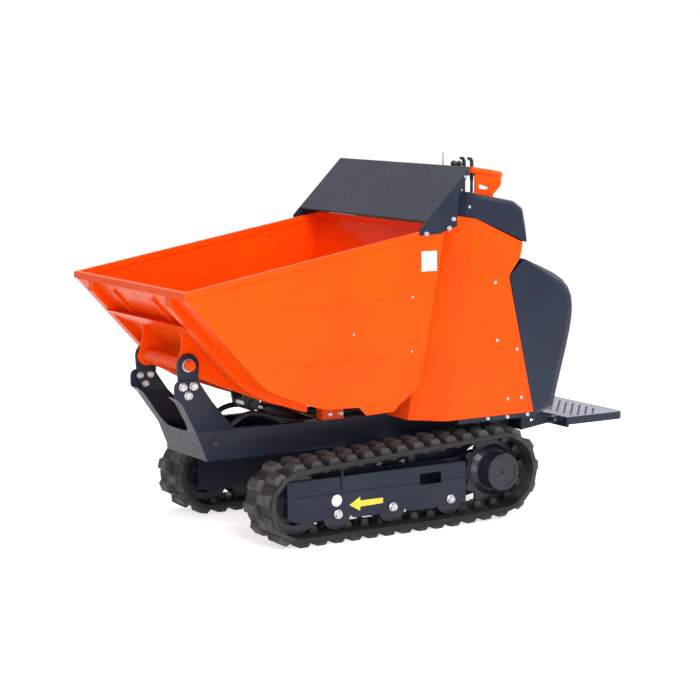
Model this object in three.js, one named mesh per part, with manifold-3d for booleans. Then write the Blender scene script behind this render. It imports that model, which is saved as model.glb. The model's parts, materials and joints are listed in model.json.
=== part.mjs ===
// Power barrow: a tracked mini dumper with a front tipping skip and a fold up footplate.
// Lengths are in millimetres, +Z is up, the machine drives towards -X and its left side is -Y.
// Places along X are counted from the axle of the front idlers, heights from the ground.
import * as THREE from 'three';
import { mergeVertices } from 'three/addons/utils/BufferGeometryUtils.js';
import { ConvexGeometry } from 'three/addons/geometries/ConvexGeometry.js';
import Module from 'manifold-3d';

// Gaps and working values
const contactGap = 0.3;
const runningGap = 0.6;
const sideGap = 0.8;
const sink = 0.5;
const overrun = 30;

// Tracks
const beltPitch = 72;
const beltWidth = 180;
const beltThickness = 17;
const trackGauge = 668;
const wheelbase = 873;
const lugHeight = 20;
const lugFootLength = 50;
const lugTipLength = 32;
const lugCentreGap = 6;
const lugEdgeBand = 7;
const lugEndSlope = 9;
const hornHeight = 24;
const hornFootLength = 34;
const hornTipLength = 18;
const hornWidth = 13;
const hornChannel = 22;
const hornSideSlope = 3;
const idlerRadius = 113;
const idlerAxleRadius = 14;
const idlerTreadWidth = 6;
const idlerRimDepth = 30;
const idlerHubRadius = 34;
const idlerWebThickness = 10;
const rollerRadius = 60;
const rollerTreadWidth = 6;
const rollerHubRadius = 30;
const rollerAxleRadius = 10;
const rollerPlaceShares = [0.1936, 0.4628, 0.7549];
const sprocketRadius = 132.5;
const sprocketLift = 11.5;
const sprocketTeeth = 12;
const sprocketToothDepth = 16;
const sprocketThickness = 14;
const sprocketHubRadius = 72;
const sprocketHubEdge = 6;
const sprocketCapRadius = 52;
const sprocketCapHeight = 3;
const sprocketRingRadius = 96;
const sprocketRingDepth = 14;
const sprocketBossRadius = 7;
const motorShaftRadius = 18;
const motorShaftLength = 46;
const yokeTravel = 20;
const yokeArmThickness = 4;
const yokeArmHeight = 46;
const yokeRodRise = 38;
const yokeReach = 150;
const yokeHeadLength = 20;
const yokeRodRadius = 16;
const yokeRodLength = 90;
const tensionerRadius = 22;
const tensionerLength = 130;

// Track frames
const framePlateThickness = 6;
const frameSpread = 46;
const frameFrontX = -39;
const frameSprocketGap = 12.5;
const frameTopZ = 232;
const frameBottomFrontZ = 84;
const frameBottomRearZ = 68;
const frameFoldZ = 174;
const frameFoldDepth = 5;
const frameNoseLength = 34;
const frameNoseRise = 21;
const frameWebZ = 214;
const frameNotchWidth = 132;
const frameNotchRise = 10;
const frameWindowInset = 111;
const frameWindowLength = 95;
const frameWindowZ = 164;
const frameWindowHeight = 41;
const frameFlangeThickness = 8;
const motorPlateRadius = 84;
const motorBodyRadius = 56;
const motorBodyLength = 74;
const motorCapRadius = 40;
const motorCapLength = 26;
const postX = 402;
const postLength = 152;
const postFlangeY = 250;
const postFlangeThickness = 8;
const postFlangeBottomZ = 190;
const postFlangeTopZ = 248;
const postStemInset = 42;
const boltHeadRadius = 10;
const boltHeadHeight = 6;

// Chassis frame
const beamHalfWidth = 148;
const beamFlangeWidth = 24;
const beamTopZ = 397;
const beamBottomZ = 290;
const beamRearX = 1100;
const plateThickness = 8;
const noseBottomX = -231;
const noseBendX = -275;
const armHalfWidth = 176;
const armTopZ = 592;
const armTopFrontX = -372;
const armTopRearX = -282;
const armBendZ = 510;
const armFrontLowX = -345;
const armRearBendX = -225;
const armRearLowX = -119;
const armCornerRadius = 22;
const cutHalfWidth = 120;
const cutFootHalfWidth = 98;
const cutBottomZ = 393;
const cutCornerRadius = 48;
const nosePlateLength = 330;
const noseBossRadius = 24;
const noseBossHeight = 4;
const noseBossX = -200;
const noseBossZ = 355;
const cradleHalfWidth = 230;
const cradleFootTopZ = 250;
const lugBaseX = 545;
const lugBaseZ = 255;
const lugCheekThickness = 10;
const lugCheekRadius = 30;
const lugBridgeX = 610;
const lugBridgeLength = 90;
const lugBridgeHeight = 22;

// Skip
const pivotX = -314;
const pivotZ = 644;
const pivotPinRadius = 18;
const pivotPinOverhang = 14;
const earRadius = 42;
const earThickness = 10;
const earFootZ = 520;
const earFootHalfWidth = 36;
const earFootRise = 34;
const skipHalfWidth = 433;
const skipWall = 4;
const lipX = -462;
const lipZ = 932;
const rimSlope = 0.1742;
const rimRearX = 600;
const rimHeight = 23;
const rimProud = 5;
const rimWidth = 14;
const rimRearInset = 13;
const slopeFootX = -150;
const slopeFootZ = 570;
const bellyX = 75;
const bellyZ = 490;
const bellyRearX = 220;
const bellyRearZ = 485;
const lipTabFrontX = 255;
const lipTabRearX = 372;
const lipTabZ = 454;
const heelX = 402;
const heelZ = 484;
const heelRadius = 78;
const backFootX = 484;
const ribSkipFrontX = -130;
const ribSkipRearX = 452;
const ribSkipHeight = 16;
const ribSkipProud = 2;
const ribSkipUpperZ = 846;
const ribSkipLowerZ = 646;
const ribSkipRise = 16;

// Skip underframe
const armPlateHalfSpan = 157;
const armPlateThickness = 10;
const armHornTopX = -452;
const armWaistX = -331;
const armWaistZ = 736;
const armEdgeReach = 13;
const armEdgeEndZ = 802;
const armBossRadius = 38;
const armToeX = -21;
const armToeZ = 493;
const crossTubeRadius = 26;
const bellyRibDepth = 28;
const slopeRibHalfSpan = 306;
const slopeRibWidth = 38;
const slopeRibDepth = 26;
const shelfZ = 782;
const shelfDepth = 44;
const shelfThickness = 34;
const footX = 240;
const footLength = 92;
const footWidth = 42;

// Tipping cylinder
const tipAngle = 75;
const tipMatchShare = 0.9;
const eyeX = 8;
const eyeZ = 463;
const eyeRadius = 24;
const eyeWidth = 80;
const clevisPinRadius = 12;
const clevisCheekThickness = 10;
const clevisBaseLength = 96;
const clevisBaseThickness = 7;
const rodRadius = 15;
const rodShown = 74;
const rodPistonLength = 24;
const barrelRadius = 30;
const barrelWall = 5;
const barrelBushRadius = 26;
const barrelBushWidth = 62;
const barrelBottomThickness = 20;
const glandRadius = 33;
const glandLength = 28;
const portRadius = 9;
const portHeight = 12;

// Lift hoses, held by a fitting on the nose plate and one on the cylinder bridge
const hoseRadius = 10;
const hoseFittingRadius = 14;
const hoseFittingLength = 26;
const hoseSides = 8;
const hoseSteps = 16;
const hoseRoutes = {
  left: [
    [-150, -106, 340], [-144, -106, 372], [-122, -107, 398], [-94, -108, 417], [-65, -109, 435],
    [-30, -109, 441], [5, -108, 436], [50, -107, 423], [107, -107, 405], [174, -104, 392],
    [260, -100, 378], [360, -100, 372], [470, -100, 376],
  ],
  right: [
    [-112, 80, 340], [-108, 80, 368], [-88, 80, 402], [-54, 80, 430], [-20, 80, 441],
    [10, 80, 443], [45, 80, 439], [107, 84, 424], [174, 90, 405], [260, 96, 388],
    [360, 100, 376], [470, 100, 377],
  ],
};

// Spill guard
const guardThickness = 4;
const guardFootX = 473;
const guardFootRise = 9;
const guardReach = 219;
const guardRise = 218;
const guardTailReach = 169;
const guardTailRise = 114;
const guardHeelReach = 162;
const guardHeelRise = 57;
const guardMiddleShare = 0.55;

// Cowl
const cowlHalfWidth = 385;
const cowlWall = 3;
const cowlBottomZ = 391;
const cowlFrontX = 527;
const cowlChamferX = 634;
const cowlFrontHalfWidth = 290;
const cowlLean = 0.169;
const cowlTopFrontZ = 1152;
const cowlTopBendX = 759;
const cowlTopBendZ = 1130;
const cowlTopRearX = 974;
const cowlTopRearZ = 1034;
const cowlShoulderX = 962;
const cowlShoulderZ = 977;
const cowlNeckX = 912;
const cowlNeckZ = 912;
const cowlRearFootX = 1034;
const cowlSlotHalfWidth = 46;
const cowlSlotHeight = 70;
const cowlFlange = 24;
const cowlBackInset = 11;
const cowlBackDrop = 20;

// Console hood
const hoodWall = 4;
const hoodBevel = 26;
const hoodOverhang = 2;
const hoodFrontX = 705;
const hoodFrontZ = 1233;
const hoodShoulderX = 941;
const hoodShoulderZ = 1188;
const hoodCrownX = 981;
const hoodCrownZ = 1160;
const hoodTailX = 998;
const hoodTailZ = 1083;

// Rear cover
const coverWall = 4;
const coverHalfWidth = 383;
const coverBevel = 46;
const coverGap = 2;
const coverPeakX = 984;
const coverPeakZ = 972;
const coverBackX = 1238;
const coverBackZ = 775;
const coverFootX = 1147;
const coverFootZ = 386;
const coverHingeRadius = 7;
const coverHingeLength = 46;
const coverHingeY = 300;

// Deck and power pack
const deckThickness = 6;
const deckFrontX = 560;
const deckWideEndX = 1014;
const deckRearX = 1098;
const deckSkirt = 18;
const engineX = 800;
const engineLength = 210;
const engineWidth = 260;
const engineHeight = 190;
const engineFinPitch = 14;
const engineFinDepth = 10;
const engineHeadLength = 120;
const engineHeadHeight = 96;
const engineFeetHeight = 20;
const mufflerRadius = 55;
const mufflerLength = 190;
const filterRadius = 60;
const filterHeight = 82;
const fuelTankLength = 210;
const fuelTankWidth = 300;
const fuelTankHeight = 120;
const fuelCapRadius = 32;
const fuelCapHeight = 20;
const oilTankX = 660;
const oilTankLength = 120;
const oilTankWidth = 360;
const oilTankHeight = 330;
const pumpRadius = 42;
const pumpLength = 90;
const valveLength = 110;
const valveWidth = 210;
const valveHeight = 74;
const valveSections = 4;
const batteryLength = 130;
const batteryWidth = 165;
const batteryHeight = 160;
const batteryX = 790;
const batteryPlace = -287;

// Controls
const controlPlateZ = 1062;
const controlPlateThickness = 4;
const controlPlateFrontX = 752;
const controlPlateRearX = 900;
const leverShaftX = 827;
const leverShaftZ = 1128;
const leverShaftRadius = 7;
const leverHubRadius = 13;
const leverHubWidth = 14;
const leverStemRadius = 5.5;
const leverSwing = 14;
const shortLeverPlaces = [-144, -179];
const shortLeverTopZ = 1332;
const shortKnobRadius = 13;
const tallLeverPlaces = [-211, -260];
const tallLeverTopZ = 1352;
const tallHookReach = 16;
const tallGripRadius = 7;
const tallGripLength = 90;
const throttlePlace = -74;
const throttleTopZ = 1360;
const throttleRadius = 3;
const leverSlotGap = 5;
const shaftCheekThickness = 6;
const shaftCheekPlaces = [-285, -48];

// Handlebar
const barHalfSpan = 300;
const barTubeRadius = 12;
const barFrontX = 794;
const barFrontZ = 1303;
const barRearX = 954;
const barRearZ = 1279;
const barPlateThickness = 8;
const barLegX = 818;
const barLegWidth = 10;
const barFootX = 846;
const barFootLength = 38;
const barFootWidth = 34;
const barBand = 23;
const barSteps = 20;

// Footplate
const footplateHingeX = 1249;
const footplateHingeZ = 320;
const footplateTopZ = 335;
const footplateThickness = 29;
const footplateFrontX = 1262;
const footplateRearX = 1547;
const footplateHalfWidth = 300;
const footplateCorner = 28;
const footplateRim = 10;
const footplateFrontDepth = 38;
const treadThickness = 5;
const treadSlotWidth = 9;
const treadSlotPitch = 43;
const treadSlotMargin = 10;
const treadSlotAngle = 49.5;
const hingePinRadius = 8;
const hingeLugWidth = 24;
const bracketPlace = 220;
const bracketThickness = 8;
const bracketTailZ = 290;
const bracketWindowX = 1146;
const bracketWindowLength = 34;
const bracketWindowTopZ = 330;
const bracketBackTopZ = 380;

// Facets
const pinSides = 10;
const wheelSides = 24;
const drumSides = 12;
const idlerSides = 18;
const rollerSides = 14;
const smallSides = 8;
const beltArcStep = 15;
const cornerSteps = 3;
const curveSteps = 7;
const crownSteps = 3;

// Worked out from the sizes above
const rollerPlaces = rollerPlaceShares.map((share) => share * wheelbase);
const frameRearX = wheelbase - sprocketRadius - frameSprocketGap;
const frameWindowX = frameRearX - frameWindowInset - frameWindowLength;
const trackCentre = trackGauge / 2;
const originX = (lipX - rimProud + footplateRearX) / 2;
const idlerZ = lugHeight + beltThickness + idlerRadius;
const rollerZ = lugHeight + beltThickness + rollerRadius;
const sprocketZ = lugHeight + beltThickness + sprocketRadius + sprocketLift;
const armPlateInner = armPlateHalfSpan - armPlateThickness;
const earOuter = armHalfWidth - plateThickness - contactGap;
const deckTopZ = beamTopZ + contactGap + deckThickness;
const degrees = Math.PI / 180;

const wasm = await Module();
wasm.setup();

// Solids from geometry, joins and cuts

function solidOf(geometry) {
  const bare = geometry.clone();
  bare.deleteAttribute('normal');
  bare.deleteAttribute('uv');
  const merged = mergeVertices(bare);
  const vertProperties = new Float32Array(merged.attributes.position.array);
  const triVerts = new Uint32Array(merged.index.array);
  return new wasm.Manifold(new wasm.Mesh({ numProp: 3, vertProperties, triVerts }));
}

function geometryOf(solid) {
  const mesh = solid.getMesh();
  const geometry = new THREE.BufferGeometry();
  geometry.setAttribute('position', new THREE.BufferAttribute(new Float32Array(mesh.vertProperties), 3));
  geometry.setIndex(new THREE.BufferAttribute(new Uint32Array(mesh.triVerts), 1));
  geometry.computeVertexNormals();
  return geometry;
}

function join(solids) {
  return solids.reduce((whole, piece) => whole.add(piece));
}

function cut(whole, tools) {
  return tools.reduce((rest, tool) => rest.subtract(tool), whole);
}

// An outline is a list of [a, b] places; a third number rounds that corner with an arc
function rounded(corners) {
  const points = [];
  corners.forEach((corner, index) => {
    const here = new THREE.Vector2(corner[0], corner[1]);
    const radius = corner[2] ?? 0;
    if (radius === 0) {
      points.push(here);
      return;
    }
    const before = corners[(index + corners.length - 1) % corners.length];
    const after = corners[(index + 1) % corners.length];
    const toBefore = new THREE.Vector2(before[0], before[1]).sub(here);
    const toAfter = new THREE.Vector2(after[0], after[1]).sub(here);
    const half = Math.acos(toBefore.clone().normalize().dot(toAfter.clone().normalize())) / 2;
    const longest = Math.min(toBefore.length(), toAfter.length()) / 2;
    const reach = Math.min(radius / Math.tan(half), longest);
    const from = here.clone().add(toBefore.setLength(reach));
    const to = here.clone().add(toAfter.setLength(reach));
    const bisector = from.clone().add(to).divideScalar(2).sub(here).normalize();
    const arcRadius = reach * Math.tan(half);
    const centre = here.clone().add(bisector.multiplyScalar(arcRadius / Math.sin(half)));
    const start = from.clone().sub(centre);
    const sweep = Math.PI - 2 * half;
    const turn = Math.sign(start.x * (to.y - centre.y) - start.y * (to.x - centre.x));
    for (let step = 0; step <= cornerSteps; step += 1) {
      const angle = (turn * sweep * step) / cornerSteps;
      points.push(start.clone().rotateAround(new THREE.Vector2(), angle).add(centre));
    }
  });
  return points;
}

function asPoints(outline) {
  return outline[0].isVector2 ? outline : rounded(outline);
}

function extrude(outline, depth, bevel = 0) {
  const shape = new THREE.Shape(asPoints(outline));
  return new THREE.ExtrudeGeometry(shape, {
    depth: depth - 2 * bevel,
    steps: 1,
    bevelEnabled: bevel > 0,
    bevelThickness: bevel,
    bevelSize: bevel,
    bevelOffset: -bevel,
    bevelSegments: 3,
  }).translate(0, 0, bevel);
}

// A slab whose outline lies in XZ, between two places along Y
function slabY(outline, y0, y1, bevel = 0) {
  const geometry = extrude(outline, Math.abs(y1 - y0), bevel);
  const basis = new THREE.Matrix4().makeBasis(
    new THREE.Vector3(1, 0, 0),
    new THREE.Vector3(0, 0, 1),
    new THREE.Vector3(0, -1, 0),
  );
  geometry.applyMatrix4(basis).translate(0, Math.max(y0, y1), 0);
  return solidOf(geometry);
}

// A slab whose outline lies in YZ, between two places along X
function slabX(outline, x0, x1) {
  const geometry = extrude(outline, x1 - x0);
  const basis = new THREE.Matrix4().makeBasis(
    new THREE.Vector3(0, 1, 0),
    new THREE.Vector3(0, 0, 1),
    new THREE.Vector3(1, 0, 0),
  );
  geometry.applyMatrix4(basis).translate(x0, 0, 0);
  return solidOf(geometry);
}

// A slab whose outline lies in XY, between two heights
function slabZ(outline, z0, z1, bevel = 0) {
  return solidOf(extrude(outline, z1 - z0, bevel).translate(0, 0, z0));
}

function block(x0, x1, y0, y1, z0, z1) {
  const geometry = new THREE.BoxGeometry(Math.abs(x1 - x0), Math.abs(y1 - y0), Math.abs(z1 - z0));
  return solidOf(geometry.translate((x0 + x1) / 2, (y0 + y1) / 2, (z0 + z1) / 2));
}

function rodY(x, z, radius, y0, y1, sides = pinSides) {
  const geometry = new THREE.CylinderGeometry(radius, radius, Math.abs(y1 - y0), sides);
  return solidOf(geometry.translate(x, (y0 + y1) / 2, z));
}

function rodZ(x, y, radius, z0, z1, sides = pinSides) {
  const geometry = new THREE.CylinderGeometry(radius, radius, z1 - z0, sides);
  return solidOf(geometry.rotateX(Math.PI / 2).translate(x, y, (z0 + z1) / 2));
}

function rodX(y, z, radius, x0, x1, sides = pinSides) {
  const geometry = new THREE.CylinderGeometry(radius, radius, x1 - x0, sides);
  return solidOf(geometry.rotateZ(Math.PI / 2).translate((x0 + x1) / 2, y, z));
}

// The bore that a faceted pin turns in freely
function boreFor(pinRadius, gap = runningGap, sides = pinSides) {
  return (pinRadius + gap) / Math.cos(Math.PI / sides);
}

function turnedY(profile, sides = wheelSides) {
  return solidOf(new THREE.LatheGeometry(profile.map(([r, y]) => new THREE.Vector2(r, y)), sides));
}

function sweep(places, radius, sides, steps, tension = 0.5) {
  const points = places.map((place) => new THREE.Vector3(...place));
  const curve = new THREE.CatmullRomCurve3(points, false, 'catmullrom', tension);
  const ring = [];
  for (let side = 0; side < sides; side += 1) {
    const angle = (2 * Math.PI * side) / sides;
    ring.push(new THREE.Vector2(radius * Math.cos(angle), radius * Math.sin(angle)));
  }
  return solidOf(new THREE.ExtrudeGeometry(new THREE.Shape(ring), { steps, extrudePath: curve }));
}

function hull(places) {
  return solidOf(new ConvexGeometry(places.map((place) => new THREE.Vector3(...place))));
}

// A convex form with rounded side edges; places kept sharp stay at the full width
function crowned(points, half, bevel, isSharp) {
  const places = [];
  for (let step = 0; step <= crownSteps; step += 1) {
    const angle = (Math.PI / 2) * (step / crownSteps);
    const drawn = offsetOutline(points, -bevel * (1 - Math.cos(angle)));
    const reach = half - bevel * (1 - Math.sin(angle));
    drawn.forEach((point, index) => {
      const kept = isSharp(index) ? points[index] : point;
      places.push([kept.x, reach, kept.y], [kept.x, -reach, kept.y]);
    });
  }
  return hull(places);
}

function hexHead(x, z, ySeat, side, radius = boltHeadRadius, height = boltHeadHeight) {
  return rodY(x, z, radius, ySeat - side * sink, ySeat + side * height, 6);
}

// Moves every side of a closed outline outwards by a distance, inwards where it is negative
function offsetOutline(outline, distance) {
  const points = asPoints(outline);
  const area = THREE.ShapeUtils.area(points);
  const outward = distance * Math.sign(area);
  return points.map((point, index) => {
    const before = points[(index + points.length - 1) % points.length];
    const after = points[(index + 1) % points.length];
    const first = point.clone().sub(before).normalize();
    const second = after.clone().sub(point).normalize();
    const normal = new THREE.Vector2(first.y + second.y, -first.x - second.x).normalize();
    const stretch = 1 / Math.max(0.2, normal.x * first.y - normal.y * first.x);
    return point.clone().add(normal.multiplyScalar(outward * stretch));
  });
}

// Materials

function finish(colour, roughness, metalness) {
  return new THREE.MeshStandardMaterial({ color: colour, roughness, metalness });
}

const orangePaint = finish('#ff6a14', 0.35, 0);
const darkPaint = finish('#2b2f3b', 0.45, 0);
const moulding = finish('#343b4c', 0.5, 0);
const rubber = finish('#2a2827', 0.85, 0);
const steel = finish('#b9bcc0', 0.35, 1);
const blackMetal = finish('#17181a', 0.5, 0);
const treadPaint = finish('#b9bccb', 0.55, 0);
const castIron = finish('#3f4247', 0.6, 1);

const machine = new THREE.Group();
machine.position.set(-originX, 0, 0);

function place(name, solid, material, x = 0, y = 0, z = 0) {
  const mesh = new THREE.Mesh(geometryOf(solid), material);
  mesh.name = name;
  mesh.position.set(x, y, z);
  machine.add(mesh);
  return mesh;
}

// Track belt

// The closed run of the belt's inner face round idler, last roller and sprocket
const wheels = [
  { x: 0, z: idlerZ, radius: idlerRadius },
  { x: rollerPlaces[rollerPlaces.length - 1], z: rollerZ, radius: rollerRadius },
  { x: wheelbase, z: sprocketZ, radius: sprocketRadius },
];

// The outward direction of the belt on the straight from one wheel to the next
function tangentAngle(from, to) {
  const along = Math.atan2(to.z - from.z, to.x - from.x);
  const apart = Math.hypot(to.x - from.x, to.z - from.z);
  return along - Math.PI / 2 - Math.asin((to.radius - from.radius) / apart);
}

function beltRun() {
  const pieces = [];
  wheels.forEach((wheel, index) => {
    const next = wheels[(index + 1) % wheels.length];
    const last = wheels[(index + wheels.length - 1) % wheels.length];
    const start = tangentAngle(last, wheel);
    const turn = THREE.MathUtils.euclideanModulo(tangentAngle(wheel, next) - start, 2 * Math.PI);
    const end = start + turn;
    pieces.push({ wheel, start, turn, length: wheel.radius * turn });
    const from = [wheel.x + wheel.radius * Math.cos(end), wheel.z + wheel.radius * Math.sin(end)];
    const to = [next.x + next.radius * Math.cos(end), next.z + next.radius * Math.sin(end)];
    pieces.push({ from, to, angle: end, length: Math.hypot(to[0] - from[0], to[1] - from[1]) });
  });
  return pieces;
}

const run = beltRun();
const runLength = run.reduce((sum, piece) => sum + piece.length, 0);
const beltLinks = Math.round(runLength / beltPitch);

// A place on the belt's inner face, with its outward direction
function runPlace(distance) {
  let left = THREE.MathUtils.euclideanModulo(distance, runLength);
  for (const piece of run) {
    if (left <= piece.length) {
      const share = left / piece.length;
      if (piece.wheel) {
        const angle = piece.start + piece.turn * share;
        const reach = piece.wheel.radius;
        const x = piece.wheel.x + reach * Math.cos(angle);
        return { x, z: piece.wheel.z + reach * Math.sin(angle), angle };
      }
      const x = piece.from[0] + (piece.to[0] - piece.from[0]) * share;
      return { x, z: piece.from[1] + (piece.to[1] - piece.from[1]) * share, angle: piece.angle };
    }
    left -= piece.length;
  }
  return runPlace(0);
}

// The outline of the belt at a height above its inner face, its facets touching the arcs
function beltOutline(height) {
  const points = [];
  for (const piece of run) {
    if (piece.wheel) {
      const steps = Math.max(1, Math.round(piece.turn / degrees / beltArcStep));
      const half = piece.turn / steps / 2;
      const reach = (piece.wheel.radius + height) / Math.cos(half);
      for (let step = 0; step < steps; step += 1) {
        const angle = piece.start + piece.turn * (step / steps) + half;
        points.push([piece.wheel.x + reach * Math.cos(angle), piece.wheel.z + reach * Math.sin(angle)]);
      }
    }
  }
  return points;
}

// A tapered block standing on the belt: feet on the belt, tip outwards where height is positive
function beltBlock(distance, foot, tip, height, y0, y1, slope0, slope1) {
  const spot = runPlace(distance);
  const base = height > 0 ? beltThickness - sink : sink;
  const top = height > 0 ? beltThickness + height : height;
  const outward = [Math.cos(spot.angle), Math.sin(spot.angle)];
  const along = [-outward[1], outward[0]];
  const corner = (reach, length, y) => [
    spot.x + outward[0] * reach + along[0] * length,
    y,
    spot.z + outward[1] * reach + along[1] * length,
  ];
  const corners = [];
  for (const half of [-1 / 2, 1 / 2]) {
    corners.push(corner(base, foot * half, y0), corner(base, foot * half, y1));
    corners.push(corner(top, tip * half, y0 + slope0), corner(top, tip * half, y1 - slope1));
  }
  return hull(corners);
}

function trackBelt(side) {
  const centre = side * trackCentre;
  const edge = beltWidth / 2;
  const outer = slabY(beltOutline(beltThickness), centre - edge, centre + edge);
  const inner = slabY(beltOutline(0), centre - edge - overrun, centre + edge + overrun);
  const pieces = [cut(outer, [inner])];
  const step = runLength / beltLinks;
  for (let link = 0; link < beltLinks; link += 1) {
    for (const row of [-1, 1]) {
      const stagger = row === side ? 0 : step / 2;
      const near = centre + row * (lugCentreGap / 2);
      const far = centre + row * (edge - lugEdgeBand);
      const lugEnds = [Math.min(near, far), Math.max(near, far)];
      pieces.push(beltBlock(link * step + stagger, lugFootLength, lugTipLength, lugHeight,
        lugEnds[0], lugEnds[1], lugEndSlope, lugEndSlope));
      const hornNear = centre + row * (hornChannel / 2);
      const hornFar = hornNear + row * hornWidth;
      const hornEnds = [Math.min(hornNear, hornFar), Math.max(hornNear, hornFar)];
      pieces.push(beltBlock(link * step, hornFootLength, hornTipLength, -hornHeight,
        hornEnds[0], hornEnds[1], row > 0 ? 0 : hornSideSlope, row > 0 ? hornSideSlope : 0));
    }
  }
  return join(pieces);
}

// Track wheels, turned about Y and centred on their own axles

const hornOuter = hornChannel / 2 + hornWidth;
const treadInner = hornOuter + runningGap * 2;
const rollerInner = treadInner + idlerTreadWidth + sideGap;
const rollerEnd = rollerInner + rollerTreadWidth;

function idlerWheel() {
  const tread = idlerRadius - runningGap;
  const treadOuter = treadInner + idlerTreadWidth;
  const rim = tread - idlerRimDepth;
  const rimBack = rim - idlerTreadWidth;
  const web = idlerWebThickness / 2;
  const body = turnedY([
    [0, -treadOuter], [idlerHubRadius, -treadOuter], [idlerHubRadius, -web], [rimBack, -web],
    [rimBack, -treadOuter], [tread, -treadOuter], [tread, -treadInner], [rim, -treadInner],
    [rim, treadInner], [tread, treadInner], [tread, treadOuter], [rimBack, treadOuter],
    [rimBack, web], [idlerHubRadius, web], [idlerHubRadius, treadOuter], [0, treadOuter],
  ], idlerSides);
  const bore = boreFor(idlerAxleRadius, runningGap);
  return cut(body, [rodY(0, 0, bore, -treadOuter - overrun, treadOuter + overrun)]);
}

function bottomRoller() {
  const tread = rollerRadius - runningGap;
  const body = turnedY([
    [0, -rollerEnd], [tread, -rollerEnd], [tread, -rollerInner], [rollerHubRadius, -rollerInner],
    [rollerHubRadius, rollerInner], [tread, rollerInner], [tread, rollerEnd], [0, rollerEnd],
  ], rollerSides);
  const bore = boreFor(rollerAxleRadius, runningGap);
  return cut(body, [rodY(0, 0, bore, -rollerEnd - overrun, rollerEnd + overrun)]);
}

function driveSprocket(side) {
  const tip = sprocketRadius - runningGap * 2;
  const root = tip - sprocketToothDepth;
  const outline = [];
  const pitchAngle = (2 * Math.PI) / sprocketTeeth;
  const toothShares = [[-0.3, 0], [-0.14, 1], [0.14, 1], [0.3, 0]];
  for (let tooth = 0; tooth < sprocketTeeth; tooth += 1) {
    for (const [turnShare, riseShare] of toothShares) {
      const angle = (tooth + turnShare) * pitchAngle;
      const reach = root + (tip - root) * riseShare;
      outline.push([reach * Math.cos(angle), reach * Math.sin(angle)]);
    }
  }
  const half = sprocketThickness / 2;
  const face = beltWidth / 2;
  const hubBack = -(frameSpread - framePlateThickness - sideGap);
  const teeth = slabY(outline, -half, half);
  const hub = turnedY([
    [0, hubBack], [sprocketHubRadius, hubBack], [sprocketHubRadius, half],
    [sprocketRingRadius, half], [sprocketHubRadius + sprocketHubEdge, half + sprocketRingDepth],
    [sprocketHubRadius, half + sprocketRingDepth], [sprocketHubRadius, face - sprocketHubEdge],
    [sprocketHubRadius - sprocketHubEdge, face], [sprocketCapRadius, face],
    [sprocketCapRadius, face - sprocketCapHeight], [sprocketBossRadius, face - sprocketCapHeight],
    [sprocketBossRadius, face + sprocketCapHeight], [0, face + sprocketCapHeight],
  ]);
  const bore = rodY(0, 0, boreFor(motorShaftRadius), hubBack - overrun, hubBack + motorShaftLength);
  const whole = cut(join([teeth, hub]), [bore]);
  return side > 0 ? whole : whole.mirror([0, 1, 0]);
}

// Drive motor: its plate seats on the inner face of the track frame, its shaft drives the sprocket

function driveMotor(side) {
  const seat = side * (trackCentre - frameSpread - contactGap);
  const shaftEnd = side * (trackCentre - (frameSpread - framePlateThickness - sideGap)
    + motorShaftLength - sideGap * 2);
  const plateEnd = seat - side * plateThickness;
  const bodyEnd = plateEnd - side * motorBodyLength;
  return join([
    rodY(0, 0, motorShaftRadius, plateEnd, shaftEnd),
    rodY(0, 0, motorPlateRadius - plateThickness, seat, plateEnd, wheelSides / 2),
    rodY(0, 0, motorBodyRadius, plateEnd + side * sink, bodyEnd, wheelSides / 2),
    rodY(0, 0, motorCapRadius, bodyEnd + side * sink, bodyEnd - side * motorCapLength, wheelSides / 2),
    rodZ(0, bodyEnd + side * motorCapLength, portRadius, 0, motorBodyRadius + portHeight),
  ]);
}

// Tension yoke: carries the idler axle and slides back against the grease cylinder

const tensionerX = yokeReach + yokeTravel + yokeHeadLength;

function tensionYoke() {
  const armInner = treadInner + idlerTreadWidth + sideGap;
  const armOuter = armInner + yokeArmThickness;
  const half = yokeArmHeight / 2;
  const headX = yokeReach - yokeHeadLength;
  const headLow = yokeRodRise - yokeHeadLength;
  const headHigh = yokeRodRise + yokeHeadLength;
  const pieces = [
    rodY(0, 0, idlerAxleRadius, -armInner - sink, armInner + sink),
    block(headX, yokeReach, -armInner - sink, armInner + sink, headLow, headHigh),
    rodX(0, yokeRodRise, yokeRodRadius, yokeReach - sink, tensionerX + yokeRodLength),
  ];
  const outline = [
    [-half, -half, half / 2], [half, -half], [headX, headLow], [yokeReach, headLow],
    [yokeReach, headHigh], [headX, headHigh], [-half, half, half / 2],
  ];
  for (const row of [-1, 1]) {
    pieces.push(slabY(outline, row * armInner, row * armOuter));
  }
  return join(pieces);
}

// Track frame: folded outer plate, flat inner plate, webs, end flange, post to the chassis

function frameOutline() {
  const notchHalf = frameNotchWidth / 2;
  const drop = (frameBottomRearZ - frameBottomFrontZ) / (frameRearX - frameFrontX);
  const bottomAt = (x) => frameBottomFrontZ + drop * (x - frameFrontX);
  const points = [
    [frameFrontX, frameTopZ],
    [frameFrontX, frameBottomFrontZ + frameNoseRise],
    [frameFrontX + frameNoseLength, bottomAt(frameFrontX + frameNoseLength)],
  ];
  for (const x of rollerPlaces) {
    points.push([x - notchHalf, bottomAt(x - notchHalf)]);
    points.push([x - notchHalf + frameNotchRise, bottomAt(x - notchHalf) + frameNotchRise]);
    points.push([x + notchHalf - frameNotchRise, bottomAt(x + notchHalf) + frameNotchRise]);
    points.push([x + notchHalf, bottomAt(x + notchHalf)]);
  }
  points.push([frameRearX, frameBottomRearZ], [frameRearX, frameTopZ]);
  return points;
}

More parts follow.
